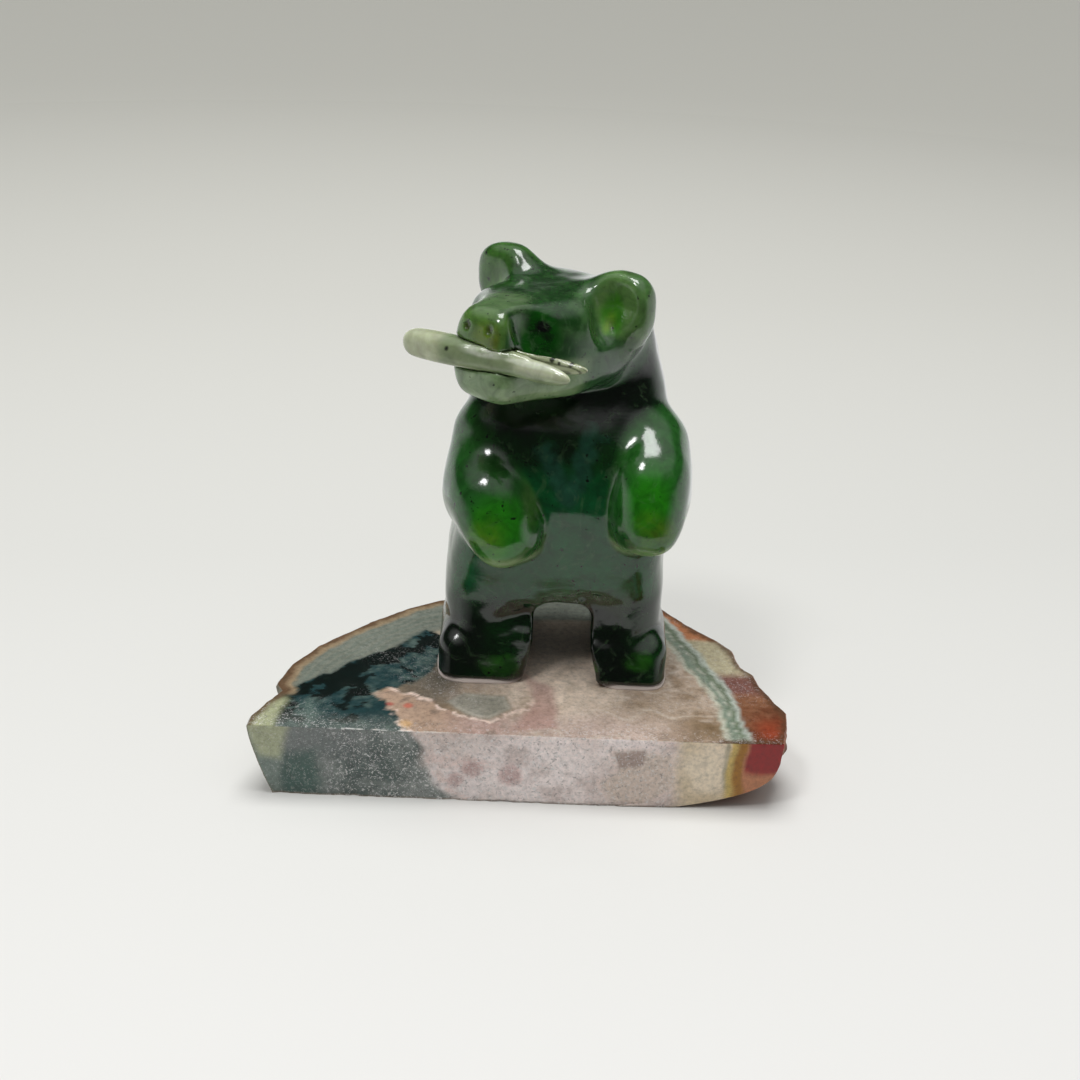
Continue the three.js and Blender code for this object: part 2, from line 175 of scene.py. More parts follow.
def tone(red, green, blue):
    """A colour as it shows on a screen, from 0 to 255, turned to linear light."""
    return np.array([((v / 255 + 0.055) / 1.055) ** 2.4 for v in (red, green, blue)])


def over(base, colour, weight):
    return base + (colour - base) * np.clip(weight, 0, 1)[:, None]


def painted(colour, *coats):
    """The colour under coats of paint. Each coat is a shade and how thickly it lies at each point."""
    for shade, weight in coats:
        colour = over(colour, tone(*shade), weight)
    return colour


# The bear, in hundredths of its height: x to its left, y behind it, z up

TORSO_START, TORSO_STEP = 0, 10
TORSO_MIDDLE = [-1.2, -1.1, -0.9, -0.5, 0.2, 0.6, 0.6, 0.4, 0.2, 0]
TORSO_HALF = [27.2, 28.0, 28.0, 27.2, 25.8, 25.0, 25.0, 23.4, 20.4, 16.5]
TORSO_FRONT = [-20.0, -18.8, -17.2, -18.4, -19.4, -18.8, -15.8, -10.2, -6.2, -3.0]
TORSO_BACK = [15.8, 17.6, 18.5, 18.6, 18.8, 19.4, 20.2, 20.2, 17.6, 12.0]
TORSO_TOP = 91
TORSO_POWER, TORSO_TAPER = 3.8, 0.0022
LEG_GROOVE = ((1.0, -27.8, 15.6), (44, 12.2, 8.6))  # middle and half sizes, as for every hollow here

HEAD_CENTRE = (-1.8, 0.9, 82.5)
HEAD_YAW = 35
HEAD_START, HEAD_STEP = -16, 8
HEAD_HALF = [15.5, 18.0, 18.6, 18.0, 15.6, 10.4, 8.0]
HEAD_TOP = [8.4, 11.6, 12.2, 11.8, 11.6, 11.4, 10.8]
HEAD_BOTTOM = [-10.0, -10.5, -11.0, -11.2, -11.2, -10.8, -10.0]
HEAD_NOSE = 32.3
HEAD_LEAN = 0.015
HEAD_NAPE = -17
SCOOP = ((16.7, 26.4, 13.0), (11.6, 8.4, 16.0))  # beside the muzzle
# side, middle, half sizes, width of the join with the head, and how far off its middle the hollow lies
EARS = [
    (-1, (16.4, -0.8, 9.2), (8.0, 4.8, 8.0), 4.2, (0.4, 8.9, -1.6)),
    (1, (15.8, -0.8, 8.0), (7.8, 4.8, 7.8), 4.4, (1.2, 6.2, 1.0)),
]
EAR_HOLLOW = (4.4, 3.2, 6.4)
EYE = (11.0, 21.2, 6.9)
NOSTRIL = (2.9, 32.3, 7.0)

FOOT_X, FOOT_SHIFT, FOOT_Y = 17.4, -0.6, -8.9
FOOT_HALF, FOOT_HEIGHT, FOOT_ROUND = (10.6, 12.2), 10.8, 5
FOOT_SLOPE = 0.32
ARCH_LEFT, ARCH_RIGHT, ARCH_SPLAY, ARCH_HEIGHT, ARCH_ROUND = -5.6, 8.4, 1.4, 18.4, 3.6
TAIL = ((0.6, 19.0, 27), (4.6, 4.0, 5.2))

# An arm tapers from shoulder to elbow. Its paw leans by degrees. A flat flank cuts off its inner side.
ARM_POWER, ARM_MERGE = 2.5, 5
RIGHT_ARM = dict(
    shoulder=(-17.0, -4, 57), elbow=(-18.4, -9, 44), thick=(9.6, 9.6),
    paw=(-15.2, -15.2, 43.8), size=(9.6, 11.6, 13.0), lean=30, slope=0.3,
    flank_point=(-9.9, -25.0, 48), flank_normal=(0.727, -0.63, 0.276), crease=0.7,
)
LEFT_ARM = dict(
    shoulder=(18.2, -4, 57), elbow=(20.2, -8, 46), thick=(9.8, 9.6),
    paw=(20.0, -13.2, 48.8), size=(9.4, 12.6, 13.8), lean=-5, slope=0.28,
    flank_point=(13.2, -25.0, 48), flank_normal=(-0.72, -0.69, 0.0), crease=2.6,
)

FISH_LENGTH = 44.0
FISH_POSITION, FISH_YAW, FISH_ROLL = (-17.4, -24.8, 82.8), -25, -1.2
FISH_CLEARANCE = 0.2
FISH_ROOM_FRONT = -2.4  # the room for the fish is open before this plane
FISH_HALF = [2.83, 3.25, 3.33, 3.25, 3.08, 2.83, 2.33]
FISH_DEEP = [2.33, 3.17, 3.5, 3.33, 3.0, 2.67, 2.5]
FISH_BODY = 0.74  # share of the length before the lobes of the tail
# middle, half sizes and turn in degrees
FISH_LOBES = [((11.6, -1.3, -0.3), (9.0, 1.9, 2.3), -9), ((13.4, 1.6, 0.7), (8.8, 1.7, 1.6), 7)]
FISH_RIDGE = [
    ((-5.5, -2.1, 1.7), (2.6, 1.0, 0.9)),
    ((-1.2, -2.2, 1.9), (2.4, 1.1, 1.0)),
    ((2.8, -1.9, 1.8), (2.2, 1.0, 0.9)),
]
FISH_CLEFT = ((15.0, 0.4, 2.6), (11.5, 0.8, 3.4))
FISH_SPECKS = [
    ((-9.0, -2.8, 1.2), 0.7),
    ((14.2, 1.2, 2.0), 0.8),
    ((16.0, 1.8, 1.6), 0.6),
    ((18.6, 2.2, 1.5), 0.8),
]


def torso(p):
    def value(row):
        return along(row, TORSO_START, TORSO_STEP, p[:, 2])

    front, back = value(TORSO_FRONT), value(TORSO_BACK)
    dx, dy = p[:, 0] - value(TORSO_MIDDLE), p[:, 1] - (front + back) / 2
    # boxy in plan, and narrower in front than behind, so the flanks show from the front
    dx = dx * (1 + TORSO_TAPER * np.clip(18 - p[:, 1], 0, 36))
    wall = oblong(dx, dy, value(TORSO_HALF), (back - front) / 2, TORSO_POWER)
    uneven = p + np.outer(layered_noise(p, 9.0, 3, 57), (0, 0.8, 3.4))
    wall = smooth_cut(wall, ellipsoid(uneven, *LEG_GROOVE), 1.0)
    return smooth_both(wall, p[:, 2] - TORSO_TOP, 4)


def head_frame(p):
    """Points as right, forward and up from the middle of the head."""
    c, s = math.cos(math.radians(HEAD_YAW)), math.sin(math.radians(HEAD_YAW))
    q = p - np.array(HEAD_CENTRE)
    return np.stack([c * q[:, 0] - s * q[:, 1], -s * q[:, 0] - c * q[:, 1], q[:, 2]], axis=1)


def head(p):
    q = head_frame(p)

    def value(row):
        return along(row, HEAD_START, HEAD_STEP, q[:, 1])

    top, bottom = value(HEAD_TOP), value(HEAD_BOTTOM)
    # the sides lean in towards the top of the head
    across = q[:, 0] * (1 + HEAD_LEAN * np.maximum(q[:, 2], 0))
    d = oblong(across, q[:, 2] - (top + bottom) / 2, value(HEAD_HALF), (top - bottom) / 2, 3.8)
    d = smooth_both(d, q[:, 1] - HEAD_NOSE, 4.5)
    d = smooth_both(d, HEAD_NAPE - q[:, 1], 8)
    for side, centre, size, merge, hollow in EARS:
        m = q * np.array([side, 1, 1])
        d = smooth_cut(d, ellipsoid(m, *SCOOP), 1.4)
        d = smooth_union(d, blunt_ellipsoid(m - np.array(centre), size, 2.6), merge)
        dish = np.array(centre) + np.array(hollow)
        # the hollow runs out downwards
        low = np.maximum(0, dish[2] - m[:, 2])
        d = smooth_cut(d, ellipsoid(m - np.outer(low, (0, 0.34, 0)), dish, EAR_HOLLOW), 3.4)
        d = smooth_cut(d, ellipsoid(m, NOSTRIL, (0.8, 0.9, 0.9)), 0.6)
    return d


def arm(p, shoulder, elbow, thick, paw, size, lean, slope, flank_point, flank_normal, crease):
    """A limb down to a paw whose face slopes forward to its lower edge, cut off along its inner side."""
    c, s = math.cos(math.radians(lean)), math.sin(math.radians(lean))
    q = p - np.array(paw)
    q[:, 1] -= slope * q[:, 2]
    turned = np.stack([c * q[:, 0] + s * q[:, 2], q[:, 1], c * q[:, 2] - s * q[:, 0]], axis=1)
    lobe = blunt_ellipsoid(turned, size, ARM_POWER)
    whole = smooth_union(tapered_limb(p, shoulder, elbow, *thick), lobe, ARM_MERGE)
    flank = (p - np.array(flank_point)) @ np.array(flank_normal)
    return smooth_both(whole, flank, crease)


def right_arm(p):
    return arm(p, **RIGHT_ARM)


def left_arm(p):
    return arm(p, **LEFT_ARM)


def foot(p, side):
    half = (*FOOT_HALF, FOOT_HEIGHT)
    sloped = p - np.column_stack([0 * p[:, 2], FOOT_SLOPE * p[:, 2], 0 * p[:, 2]])
    return rounded_box(sloped, (side * FOOT_X + FOOT_SHIFT, FOOT_Y, 0), half, FOOT_ROUND)


def arch(p):
    splay = ARCH_SPLAY * fade(10, -2, p[:, 2]) * 1.5
    middle, half = (ARCH_LEFT + ARCH_RIGHT) / 2, (ARCH_RIGHT - ARCH_LEFT) / 2
    across = np.abs(p[:, 0] - middle) - half - splay + ARCH_ROUND
    above = p[:, 2] - ARCH_HEIGHT + ARCH_ROUND
    outside = np.hypot(np.maximum(across, 0), np.maximum(above, 0))
    return outside + np.minimum(np.maximum(across, above), 0) - ARCH_ROUND


def hand_worked(p):
    """The slight unevenness that grinding by hand leaves."""
    return 0.22 * value_noise(p, 9.0, 3) + 0.07 * value_noise(p, 3.6, 5)


def bear_field(p):
    d = torso(p)
    d = smooth_union(d, head(p), 2.6)
    d = smooth_union(d, right_arm(p), 2.0)
    d = smooth_union(d, left_arm(p), 2.0)
    for side in (-1, 1):
        d = smooth_union(d, foot(p, side), 1.8)
    d = smooth_union(d, ellipsoid(p, *TAIL), 2.0)
    d = d + hand_worked(p)
    d = smooth_cut(d, arch(p), 1.4)
    d = smooth_cut(d, fish_field(p, open_front=True) - FISH_CLEARANCE, 0.6)
    return smooth_both(d, -p[:, 2], 0.5)


# The fish


def fish_frame(p):
    """Points along the fish towards its tail, across it and up."""
    turn = Matrix.Rotation(math.radians(FISH_YAW), 3, "Z") @ Matrix.Rotation(math.radians(-FISH_ROLL), 3, "Y")
    return (p - np.array(FISH_POSITION)) @ np.array(turn)


def fish_field(p, open_front=False):
    """The fish, or with an open front the room for it, so that nothing of the muzzle hangs before it."""
    q = fish_frame(p)
    if open_front:
        q[:, 1] = np.maximum(q[:, 1], FISH_ROOM_FRONT)
    snout = -FISH_LENGTH / 2
    root = snout + FISH_LENGTH * FISH_BODY
    step = (root - snout) / (len(FISH_HALF) - 1)
    deep, half = (along(row, snout, step, q[:, 0]) for row in (FISH_DEEP, FISH_HALF))
    d = oblong(q[:, 1], q[:, 2], deep, half, 2.4)
    d = smooth_both(d, snout - q[:, 0], 4.0)
    d = smooth_both(d, q[:, 0] - root, 2.0)
    for middle, size, degrees in FISH_LOBES:
        a = math.radians(degrees)
        x, y, z = (q - np.array(middle)).T
        turned = [math.cos(a) * x + math.sin(a) * y, -math.sin(a) * x + math.cos(a) * y, z]
        d = smooth_union(d, ellipsoid(np.stack(turned, axis=1), (0, 0, 0), size), 0.8)
    if open_front:
        return d
    for middle, size in FISH_RIDGE:
        d = smooth_union(d, ellipsoid(q, middle, size), 0.5)
    return smooth_cut(d, ellipsoid(q, *FISH_CLEFT), 0.5)


# Fields to meshes


def sampled(field, low, high, cell):
    """The field on a grid. Blocks far from the surface keep one coarse value."""
    blocks = [math.ceil((b - a) / (cell * COARSE)) for a, b in zip(low, high)]
    middles = [np.arange(n) * COARSE * cell + a + (COARSE - 1) / 2 * cell for n, a in zip(blocks, low)]
    grid = np.stack(np.meshgrid(*middles, indexing="ij"), axis=-1).reshape(-1, 3)
    coarse = field(grid)
    values = np.repeat(np.repeat(np.repeat(coarse.reshape(blocks), COARSE, 0), COARSE, 1), COARSE, 2)
    close = np.argwhere((np.abs(coarse) < COARSE * cell * 2.2 + 0.6).reshape(blocks))
    inner = np.stack(np.meshgrid(*[np.arange(COARSE)] * 3, indexing="ij"), axis=-1).reshape(-1, 3)
    index = (close[:, None, :] * COARSE + inner[None]).reshape(-1, 3)
    for part in np.array_split(index, max(1, len(index) // 300000)):
        values[tuple(part.T)] = field(np.array(low) + part * cell)
    return values


def onto_surface(field, p, cell, passes=3):
    start = p
    e = cell * 0.05
    for _ in range(passes):
        slope = np.stack([(field(p + step) - field(p - step)) / (2 * e) for step in np.eye(3) * e], axis=1)
        p = p - slope * (field(p) / np.maximum(0.15, (slope**2).sum(axis=1)))[:, None]
        p = np.clip(p, start - 0.6 * cell, start + 0.6 * cell)
    return p


def surface(field, low, high, cell):
    """One vertex in each cell that the surface crosses, one quad across each crossing edge of the grid."""
    values = sampled(field, low, high, cell)
    inside = values < 0
    cells = tuple(n - 1 for n in values.shape)
    corners = [(c & 1, (c >> 1) & 1, c >> 2) for c in range(8)]

    def corner(array, offset):
        return array[tuple(slice(o, o + n) for o, n in zip(offset, cells))]

    count = sum(corner(inside, c).astype(np.int8) for c in corners)
    active = (count > 0) & (count < 8)
    vertex = np.full(cells, -1, np.int32)
    vertex[active] = np.arange(active.sum())
    at = np.argwhere(active)
    v = np.stack([values[tuple((at + c).T)] for c in corners], axis=1)
    total, found = np.zeros((len(at), 3)), np.zeros(len(at))
    for a in range(8):
        for b in (a | 1, a | 2, a | 4):
            if a == b:
                continue
            crosses = (v[:, a] < 0) != (v[:, b] < 0)
            t = np.where(crosses, v[:, a] / np.where(crosses, v[:, a] - v[:, b], 1), 0)
            spot = mix(np.array(corners[a], float), np.array(corners[b], float), t[:, None])
            total += np.where(crosses[:, None], spot, 0)
            found += crosses
    points = np.array(low) + (at + total / found[:, None]) * cell
    faces = []
    for axis in range(3):
        u, w = (axis + 1) % 3, (axis + 2) % 3
        here = inside[1:-1, 1:-1, 1:-1]
        shift = [slice(1, -1)] * 3
        shift[axis] = slice(2, None)
        differs = here != inside[tuple(shift)]
        for filled in (True, False):
            e = np.argwhere(differs & (here == filled)) + 1
            step_u, step_w = np.eye(3, dtype=int)[u], np.eye(3, dtype=int)[w]
            ring = [e, e - step_u, e - step_u - step_w, e - step_w]
            quad = np.stack([vertex[tuple(r.T)] for r in ring], axis=1)
            faces.append(quad if filled else quad[:, ::-1])
    return onto_surface(field, points, cell), np.concatenate(faces)


def ring_quads(count, levels):
    """Faces between rings of points, each ring anticlockwise and above the one before it."""
    n = np.arange(count)
    after = (n + 1) % count
    start = np.arange(levels - 1)[:, None] * count
    corners = [start + n, start + after, start + count + after, start + count + n]
    return np.stack(corners, axis=2).reshape(-1, 4)


def mesh_object(name, points, faces):
    mesh = bpy.data.meshes.new(name)
    mesh.from_pydata(points.tolist(), [], faces)
    mesh.validate()
    mesh.shade_smooth()
    piece = bpy.data.objects.new(name, mesh)
    bpy.context.scene.collection.objects.link(piece)
    return piece


def point_value(piece, name, values):
    attribute = piece.data.attributes.new(name, "FLOAT", "POINT")
    attribute.data.foreach_set("value", np.asarray(values, np.float32))


def point_colour(piece, name, colours):
    attribute = piece.data.attributes.new(name, "FLOAT_COLOR", "POINT")
    rgba = np.concatenate([colours, np.ones((len(colours), 1))], axis=1)
    attribute.data.foreach_set("color", rgba.astype(np.float32).ravel())


# Materials


def node_material(name):
    material = bpy.data.materials.new(name)
    material.use_nodes = True
    tree = material.node_tree
    return material, tree, tree.nodes["Principled BSDF"]


def add(tree, kind, inputs=(), **settings):
    node = tree.nodes.new(kind)
    for key, value in settings.items():
        setattr(node, key, value)
    for key, value in dict(inputs).items():
        if isinstance(value, bpy.types.NodeSocket):
            tree.links.new(value, node.inputs[key])
        else:
            node.inputs[key].default_value = value
    return node


def ramp(tree, value, stops):
    node = add(tree, "ShaderNodeValToRGB", {"Fac": value})
    elements = node.color_ramp.elements
    while len(elements) < len(stops):
        elements.new(0.5)
    for element, (place, colour) in zip(elements, stops):
        element.position = place
        element.color = (*colour, 1) if isinstance(colour, tuple) else (colour, colour, colour, 1)
    return node.outputs["Color"]


def noise(tree, scale, detail=3.0, roughness=0.55, distortion=0.0, vector=None):
    place = vector or add(tree, "ShaderNodeTexCoord").outputs["Object"]
    inputs = {"Vector": place, "Scale": scale, "Detail": detail}
    inputs |= {"Roughness": roughness, "Distortion": distortion}
    return add(tree, "ShaderNodeTexNoise", inputs).outputs["Fac"]


def maths(tree, operation, a, b=0.0, c=0.0):
    return add(tree, "ShaderNodeMath", {0: a, 1: b, 2: c}, operation=operation).outputs[0]


def mixed(tree, fac, a, b, blend="MIX"):
    return add(tree, "ShaderNodeMix", {0: fac, 6: a, 7: b}, data_type="RGBA", blend_type=blend).outputs[2]


def attribute(tree, name, output="Fac"):
    return add(tree, "ShaderNodeAttribute", attribute_name=name).outputs[output]


def set_values(bsdf, values):
    for name, value in values.items():
        bsdf.inputs[name].default_value = value


def polish_marks(tree, bsdf, scale, strength, distance):
    """Faint ripples, and hairlines in two directions, of hand polishing."""
    height = noise(tree, scale, 4.0, 0.6, 0.4)
    place = add(tree, "ShaderNodeTexCoord").outputs["Object"]
    for turn, stretch in (((0.5, 0.3, 0.6), (1.0, 1.0, 0.06)), ((0.2, -0.7, -0.5), (0.05, 1.0, 1.0))):
        turned = add(tree, "ShaderNodeMapping", {"Vector": place, "Rotation": turn, "Scale": stretch})
        hair = noise(tree, scale * 6, 2.0, 0.6, 0.0, turned.outputs["Vector"])
        height = maths(tree, "MULTIPLY_ADD", hair, 0.16, height)
    bump = add(tree, "ShaderNodeBump", {"Strength": strength, "Distance": distance, "Height": height})
    tree.links.new(bump.outputs["Normal"], bsdf.inputs["Normal"])


def dark_jade():
    material, tree, bsdf = node_material("dark_jade")
    paint = attribute(tree, "paint", "Color")
    cloudy = noise(tree, 420.0, 5.0, 0.62, 0.8)
    clouds = ramp(tree, cloudy, [(0.28, 0.6), (0.5, 1), (0.74, (1.45, 1.35, 1.4))])
    stone = mixed(tree, 1.0, paint, clouds, "MULTIPLY")
    wisps = ramp(tree, noise(tree, 240.0, 5.0, 0.65, 2.2), [(0.56, 0), (0.7, 0.35)])
    stone = mixed(tree, wisps, stone, (0.07, 0.13, 0.06, 1))
    specks = ramp(tree, noise(tree, 1150.0, 2.0, 0.5), [(0.27, 0.1), (0.33, 1)])
    stone = mixed(tree, 1.0, stone, specks, "MULTIPLY")
    tree.links.new(stone, bsdf.inputs["Base Color"])
    set_values(bsdf, {
        "Roughness": 0.13,
        "IOR": 1.62,
        "Subsurface Weight": 0.3,
        "Subsurface Radius": (0.35, 1.0, 0.3),
        "Subsurface Scale": 0.0014,
    })
    polish_marks(tree, bsdf, 520.0, 0.16, 0.0002)
    return material


def pale_jade():
    material, tree, bsdf = node_material("pale_jade")
    paint = attribute(tree, "paint", "Color")
    cloud = ramp(tree, noise(tree, 420.0, 4.0, 0.6, 0.8), [(0.3, 0.8), (0.5, 1), (0.7, 1.2)])
    tree.links.new(mixed(tree, 1.0, paint, cloud, "MULTIPLY"), bsdf.inputs["Base Color"])
    set_values(bsdf, {
        "Roughness": 0.12,
        "IOR": 1.6,
        "Transmission Weight": 0.22,
        "Subsurface Weight": 0.4,
        "Subsurface Radius": (0.8, 1.0, 0.6),
        "Subsurface Scale": 0.001,
    })
    polish_marks(tree, bsdf, 900.0, 0.12, 0.0002)
    return material


def agate():
    material, tree, bsdf = node_material("agate")
    paint = attribute(tree, "paint", "Color")
    sugar_and_sparkle = attribute(tree, "sugar_and_sparkle")
    grain = ramp(tree, noise(tree, 1500.0, 3.0, 0.7), [(0.3, 0.74), (0.5, 1), (0.72, 1.2)])
    stone = mixed(tree, 1.0, paint, grain, "MULTIPLY")
    # painted sparkle: whitish specks stand in for glints off the sugary grain
    sparkle_glints = ramp(tree, noise(tree, 2600.0, 2.0, 0.6, 1.2), [(0.55, 0), (0.66, 1)])
    # painted shade: dark specks stand in for shade in tiny pits of the grain
    pit_shade = ramp(tree, noise(tree, 1900.0, 2.0, 0.6, 0.8), [(0.3, 1), (0.42, 0)])
    light = maths(tree, "MULTIPLY", sparkle_glints, sugar_and_sparkle)
    dark = maths(tree, "MULTIPLY", maths(tree, "MULTIPLY", pit_shade, sugar_and_sparkle), 0.5)
    stone = mixed(tree, dark, stone, (0.06, 0.055, 0.055, 1))
    stone = mixed(tree, maths(tree, "MULTIPLY", light, 0.75), stone, (0.72, 0.7, 0.69, 1))
    tree.links.new(stone, bsdf.inputs["Base Color"])
    tree.links.new(attribute(tree, "rough"), bsdf.inputs["Roughness"])
    set_values(bsdf, {
        "IOR": 1.54,
        "Subsurface Weight": 0.25,
        "Subsurface Radius": (1.0, 0.8, 0.7),
        "Subsurface Scale": 0.0012,
    })
    height = maths(tree, "MULTIPLY", noise(tree, 1700.0, 3.0, 0.7), maths(tree, "ADD", sugar_and_sparkle, 0.15))
    bump = add(tree, "ShaderNodeBump", {"Strength": 0.35, "Distance": 0.0003, "Height": height})
    tree.links.new(bump.outputs["Normal"], bsdf.inputs["Normal"])
    return material


def clear_adhesive():
    material, tree, bsdf = node_material("adhesive")
    set_values(bsdf, {
        "Base Color": (0.8, 0.69, 0.63, 1),
        "Roughness": 0.06,
        "IOR": 1.45,
        "Transmission Weight": 0.15,
    })
    polish_marks(tree, bsdf, 500.0, 0.3, 0.0004)
    return material


# Pieces


def placed(points):
    """From hundredths of the bear's height to the row frame, by the CAD bear's own box."""
    return points * bear_unit + bear_origin


bear_points, bear_faces = surface(bear_field, *BEAR_REACH, BEAR_CELL)
bear_unit = (bear_high.z - bear_low.z) / (bear_points[:, 2].max() - bear_points[:, 2].min())
middle = (bear_points.max(axis=0) + bear_points.min(axis=0)) / 2
cad_middle = np.array((bear_low + bear_high) / 2)
bear_origin = cad_middle - middle * bear_unit


# lines on the chest along which a reflection is painted in
CHEST_REFLECTION_STREAKS = [[(1.0, 47), (6.5, 62)], [(1.5, 47), (-4.5, 58)]]
LIT_FEET = [((-13.5, -20.5, 3.6), (6.5, 4, 3.6)), ((20, -19, 6), (5, 5, 4)), ((8, -20, 3), (4, 4, 3))]
PAW_RIMS = [((-14, -20, 32.6), 36.0), ((20.4, -17, 36.4), 39.8)]  # place, and height where the rim fades
EAR_SHADES = {-1: ((58, 98, 38), (66, 104, 44)), 1: ((84, 118, 62), (48, 110, 14))}  # rim and hollow


def jade_paint(p):
    """How light shows in the stone: near black where it is thick, bright and yellower where it is thin."""
    q = head_frame(p)
    warp = np.stack([layered_noise(p, 7.0, 4, s) for s in (81, 82, 83)], axis=1)
    broad = layered_noise(p, 16.0, 4, 85)
    fine = layered_noise(p, 3.0, 4, 86)
    w, v = p + warp * 1.8, q + warp * 1.2
    colour = body_paint(p, w, broad, fine)

    on_head = fade(1.4, 0.2, head(p)) * fade(69, 73, w[:, 2])
    side = np.abs(v[:, 0])
    scoop = fade(1.5, 0.3, ellipsoid(np.column_stack([side, v[:, 1:]]), *SCOOP))
    scoop = scoop * fade(10.8, 9.4, v[:, 2]) * fade(-4.0, -1.5, v[:, 2])
    scoop = scoop * fade(31.6, 30.4, v[:, 1]) * fade(6.2, 7.0, side)
    pool = painted(
        tone(5, 62, 3),
        ((26, 78, 10), fade(0.0, 0.5, fine + 0.5 * broad)),
        ((2, 36, 2), fade(0.05, 0.45, -fine) * 0.9),
    )
    skin = painted(tone(20, 56, 18), ((58, 92, 50), fade(-0.3, 0.35, broad + 0.5 * fine)))
    colour = over(colour, skin, on_head)
    # painted reflection: the lower part of the head greyer, as the floor mirrored in it
    colour = over(colour, tone(46, 78, 50), on_head * fade(4, -5, v[:, 2]) * 0.7)
    colour = over(colour, pool, on_head * scoop)
    nose = on_head * fade(27.5, 29.5, q[:, 1]) * fade(7.2, 6.4, side)
    jaw = on_head * fade(0.5, -1.5, q[:, 2]) * fade(11, 16, v[:, 1])
    colour = painted(
        colour,
        ((74, 108, 48), nose * 0.95),
        ((84, 108, 28), nose * near(v, (1.6, 31.5, 4.6), (4.0, 6, 4.6), 0.7)),
        ((92, 104, 32), nose * near(v, (4.6, 31.5, 4.6), (1.6, 6, 4.4), 0.7) * 0.7),
        # painted reflection of the light overhead on the top of the muzzle
        ((86, 112, 72), on_head * near(v, (0, 25, 11.5), (8, 10, 3)) * 0.7),
        ((114, 138, 98), jaw * 0.92),
        # painted shadow along the underside of the jaw
        ((46, 72, 26), jaw * fade(-8.8, -10.4, v[:, 2]) * 0.85),
    )
    for turn, centre, *_ in EARS:
        rim_shade, dish_shade = EAR_SHADES[turn]
        m = v * np.array([turn, 1, 1])
        rim = near(m, centre, (9.6, 8, 9.6), 0.25) * fade(4, 9, m[:, 2] + 0.25 * m[:, 0])
        dish = near(m, (centre[0] - 0.2, 3.2, centre[2] - 1.4), (3.8, 4, 6.6), 0.5)
        colour = painted(colour, (rim_shade, rim * 0.9), (dish_shade, dish * 0.9))
        if turn > 0:
            lit = near(m, (centre[0] - 0.6, 3.2, centre[2] - 3.4), (2.0, 4, 4), 0.8)
            colour = over(colour, tone(88, 124, 30), lit)
    at_eye = np.column_stack([np.abs(q[:, 0]), q[:, 1:]])
    colour = over(colour, tone(1, 5, 2), near(at_eye, EYE, (4.0, 1.7, 1.8), 0.3))
    colour = over(colour, tone(44, 52, 18), near(at_eye, NOSTRIL, (1.2, 1.6, 1.3), 0.4) * 0.85)
    return np.clip(colour * (1 + 0.12 * fine[:, None]), 0, 1)


def body_paint(p, w, broad, fine):
    """The jade below the head, at points p and at the same points shifted about, w."""
    x, y, z = w.T
    reflection_streak = np.minimum(*[near_line(w[:, [0, 2]], line) for line in CHEST_REFLECTION_STREAKS])
    limbs = np.maximum(*[fade(1.6, 0.2, limb(p)) for limb in (right_arm, left_arm)])
    limbs = limbs * fade(2, -4, y)
    height = p[:, 2] + 0.4 * fine
    rims = [near(w, place, (13, 11, 7), 0.4) * fade(top + 0.6, top - 2.2, height) for place, top in PAW_RIMS]
    return painted(
        tone(5, 18, 7),
        ((9, 50, 13), fade(-0.15, 0.4, broad) * 0.85),
        ((22, 70, 28), fade(17, 26, np.abs(x)) * fade(18, 26, z) * 0.85),
        ((12, 48, 18), fade(10, 19, y) * fade(10, 30, z) * (0.5 + 0.6 * fine)),
        ((4, 74, 34), fade(17, 23, z) * fade(58, 50, z) * fade(-8, -14, y) * 0.9),
        # painted reflection: grey-green streaks across the front of the chest
        ((28, 70, 52), fade(3.4, 0.8, reflection_streak + 3.0 * fine) * fade(-6, -12, y) * 0.9),
        # legs and feet
        ((24, 44, 4), near(w, (12, -17, 20.5), (11, 6, 4)) * (0.7 + 0.6 * fine)),
        *[((34, 88, 18), near(w, place, size) * (0.55 + 1.0 * fine)) for place, size in LIT_FEET],
        # arms and paws
        ((32, 84, 28), limbs * 0.85),
        # painted shade: the recess above the ledge of the right paw darkened
        ((12, 44, 14), near(w, (-13, -18, 58), (8, 8, 5)) * 0.8),
        ((30, 112, 12), near(w, (-14.5, -27, 42.5), (9.5, 10, 12), 0.6) * 0.95),
        ((30, 112, 10), near(w, (19.6, -25, 48.5), (8.6, 12, 13), 0.7) * 0.95),
        ((84, 120, 20), near(w, (-17, -25, 40), (6, 8, 8), 0.8) * (0.5 + 0.8 * fine)),
        ((84, 108, 16), near(w, (21, -25, 43.5), (6, 8, 6), 0.8) * (0.55 + 0.8 * fine)),
        *[((118, 146, 98), rim * limbs * 0.85) for rim in rims],
        # painted light: a lighter strip on the inner flank of the right arm
        ((58, 96, 40), near(w, (-7.5, -21, 47), (3.5, 6, 9), 0.6) * limbs * 0.8),
        ((8, 54, 12), near(w, (-10, -20, 69), (16, 12, 5)) * (0.7 + 0.5 * fine)),
    )


def make_bear():
    piece = mesh_object("carved_bear", placed(bear_points), bear_faces.tolist())
    point_colour(piece, "paint", jade_paint(bear_points))
    piece.data.materials.append(dark_jade())
    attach(piece, "root")
    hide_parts("bear")


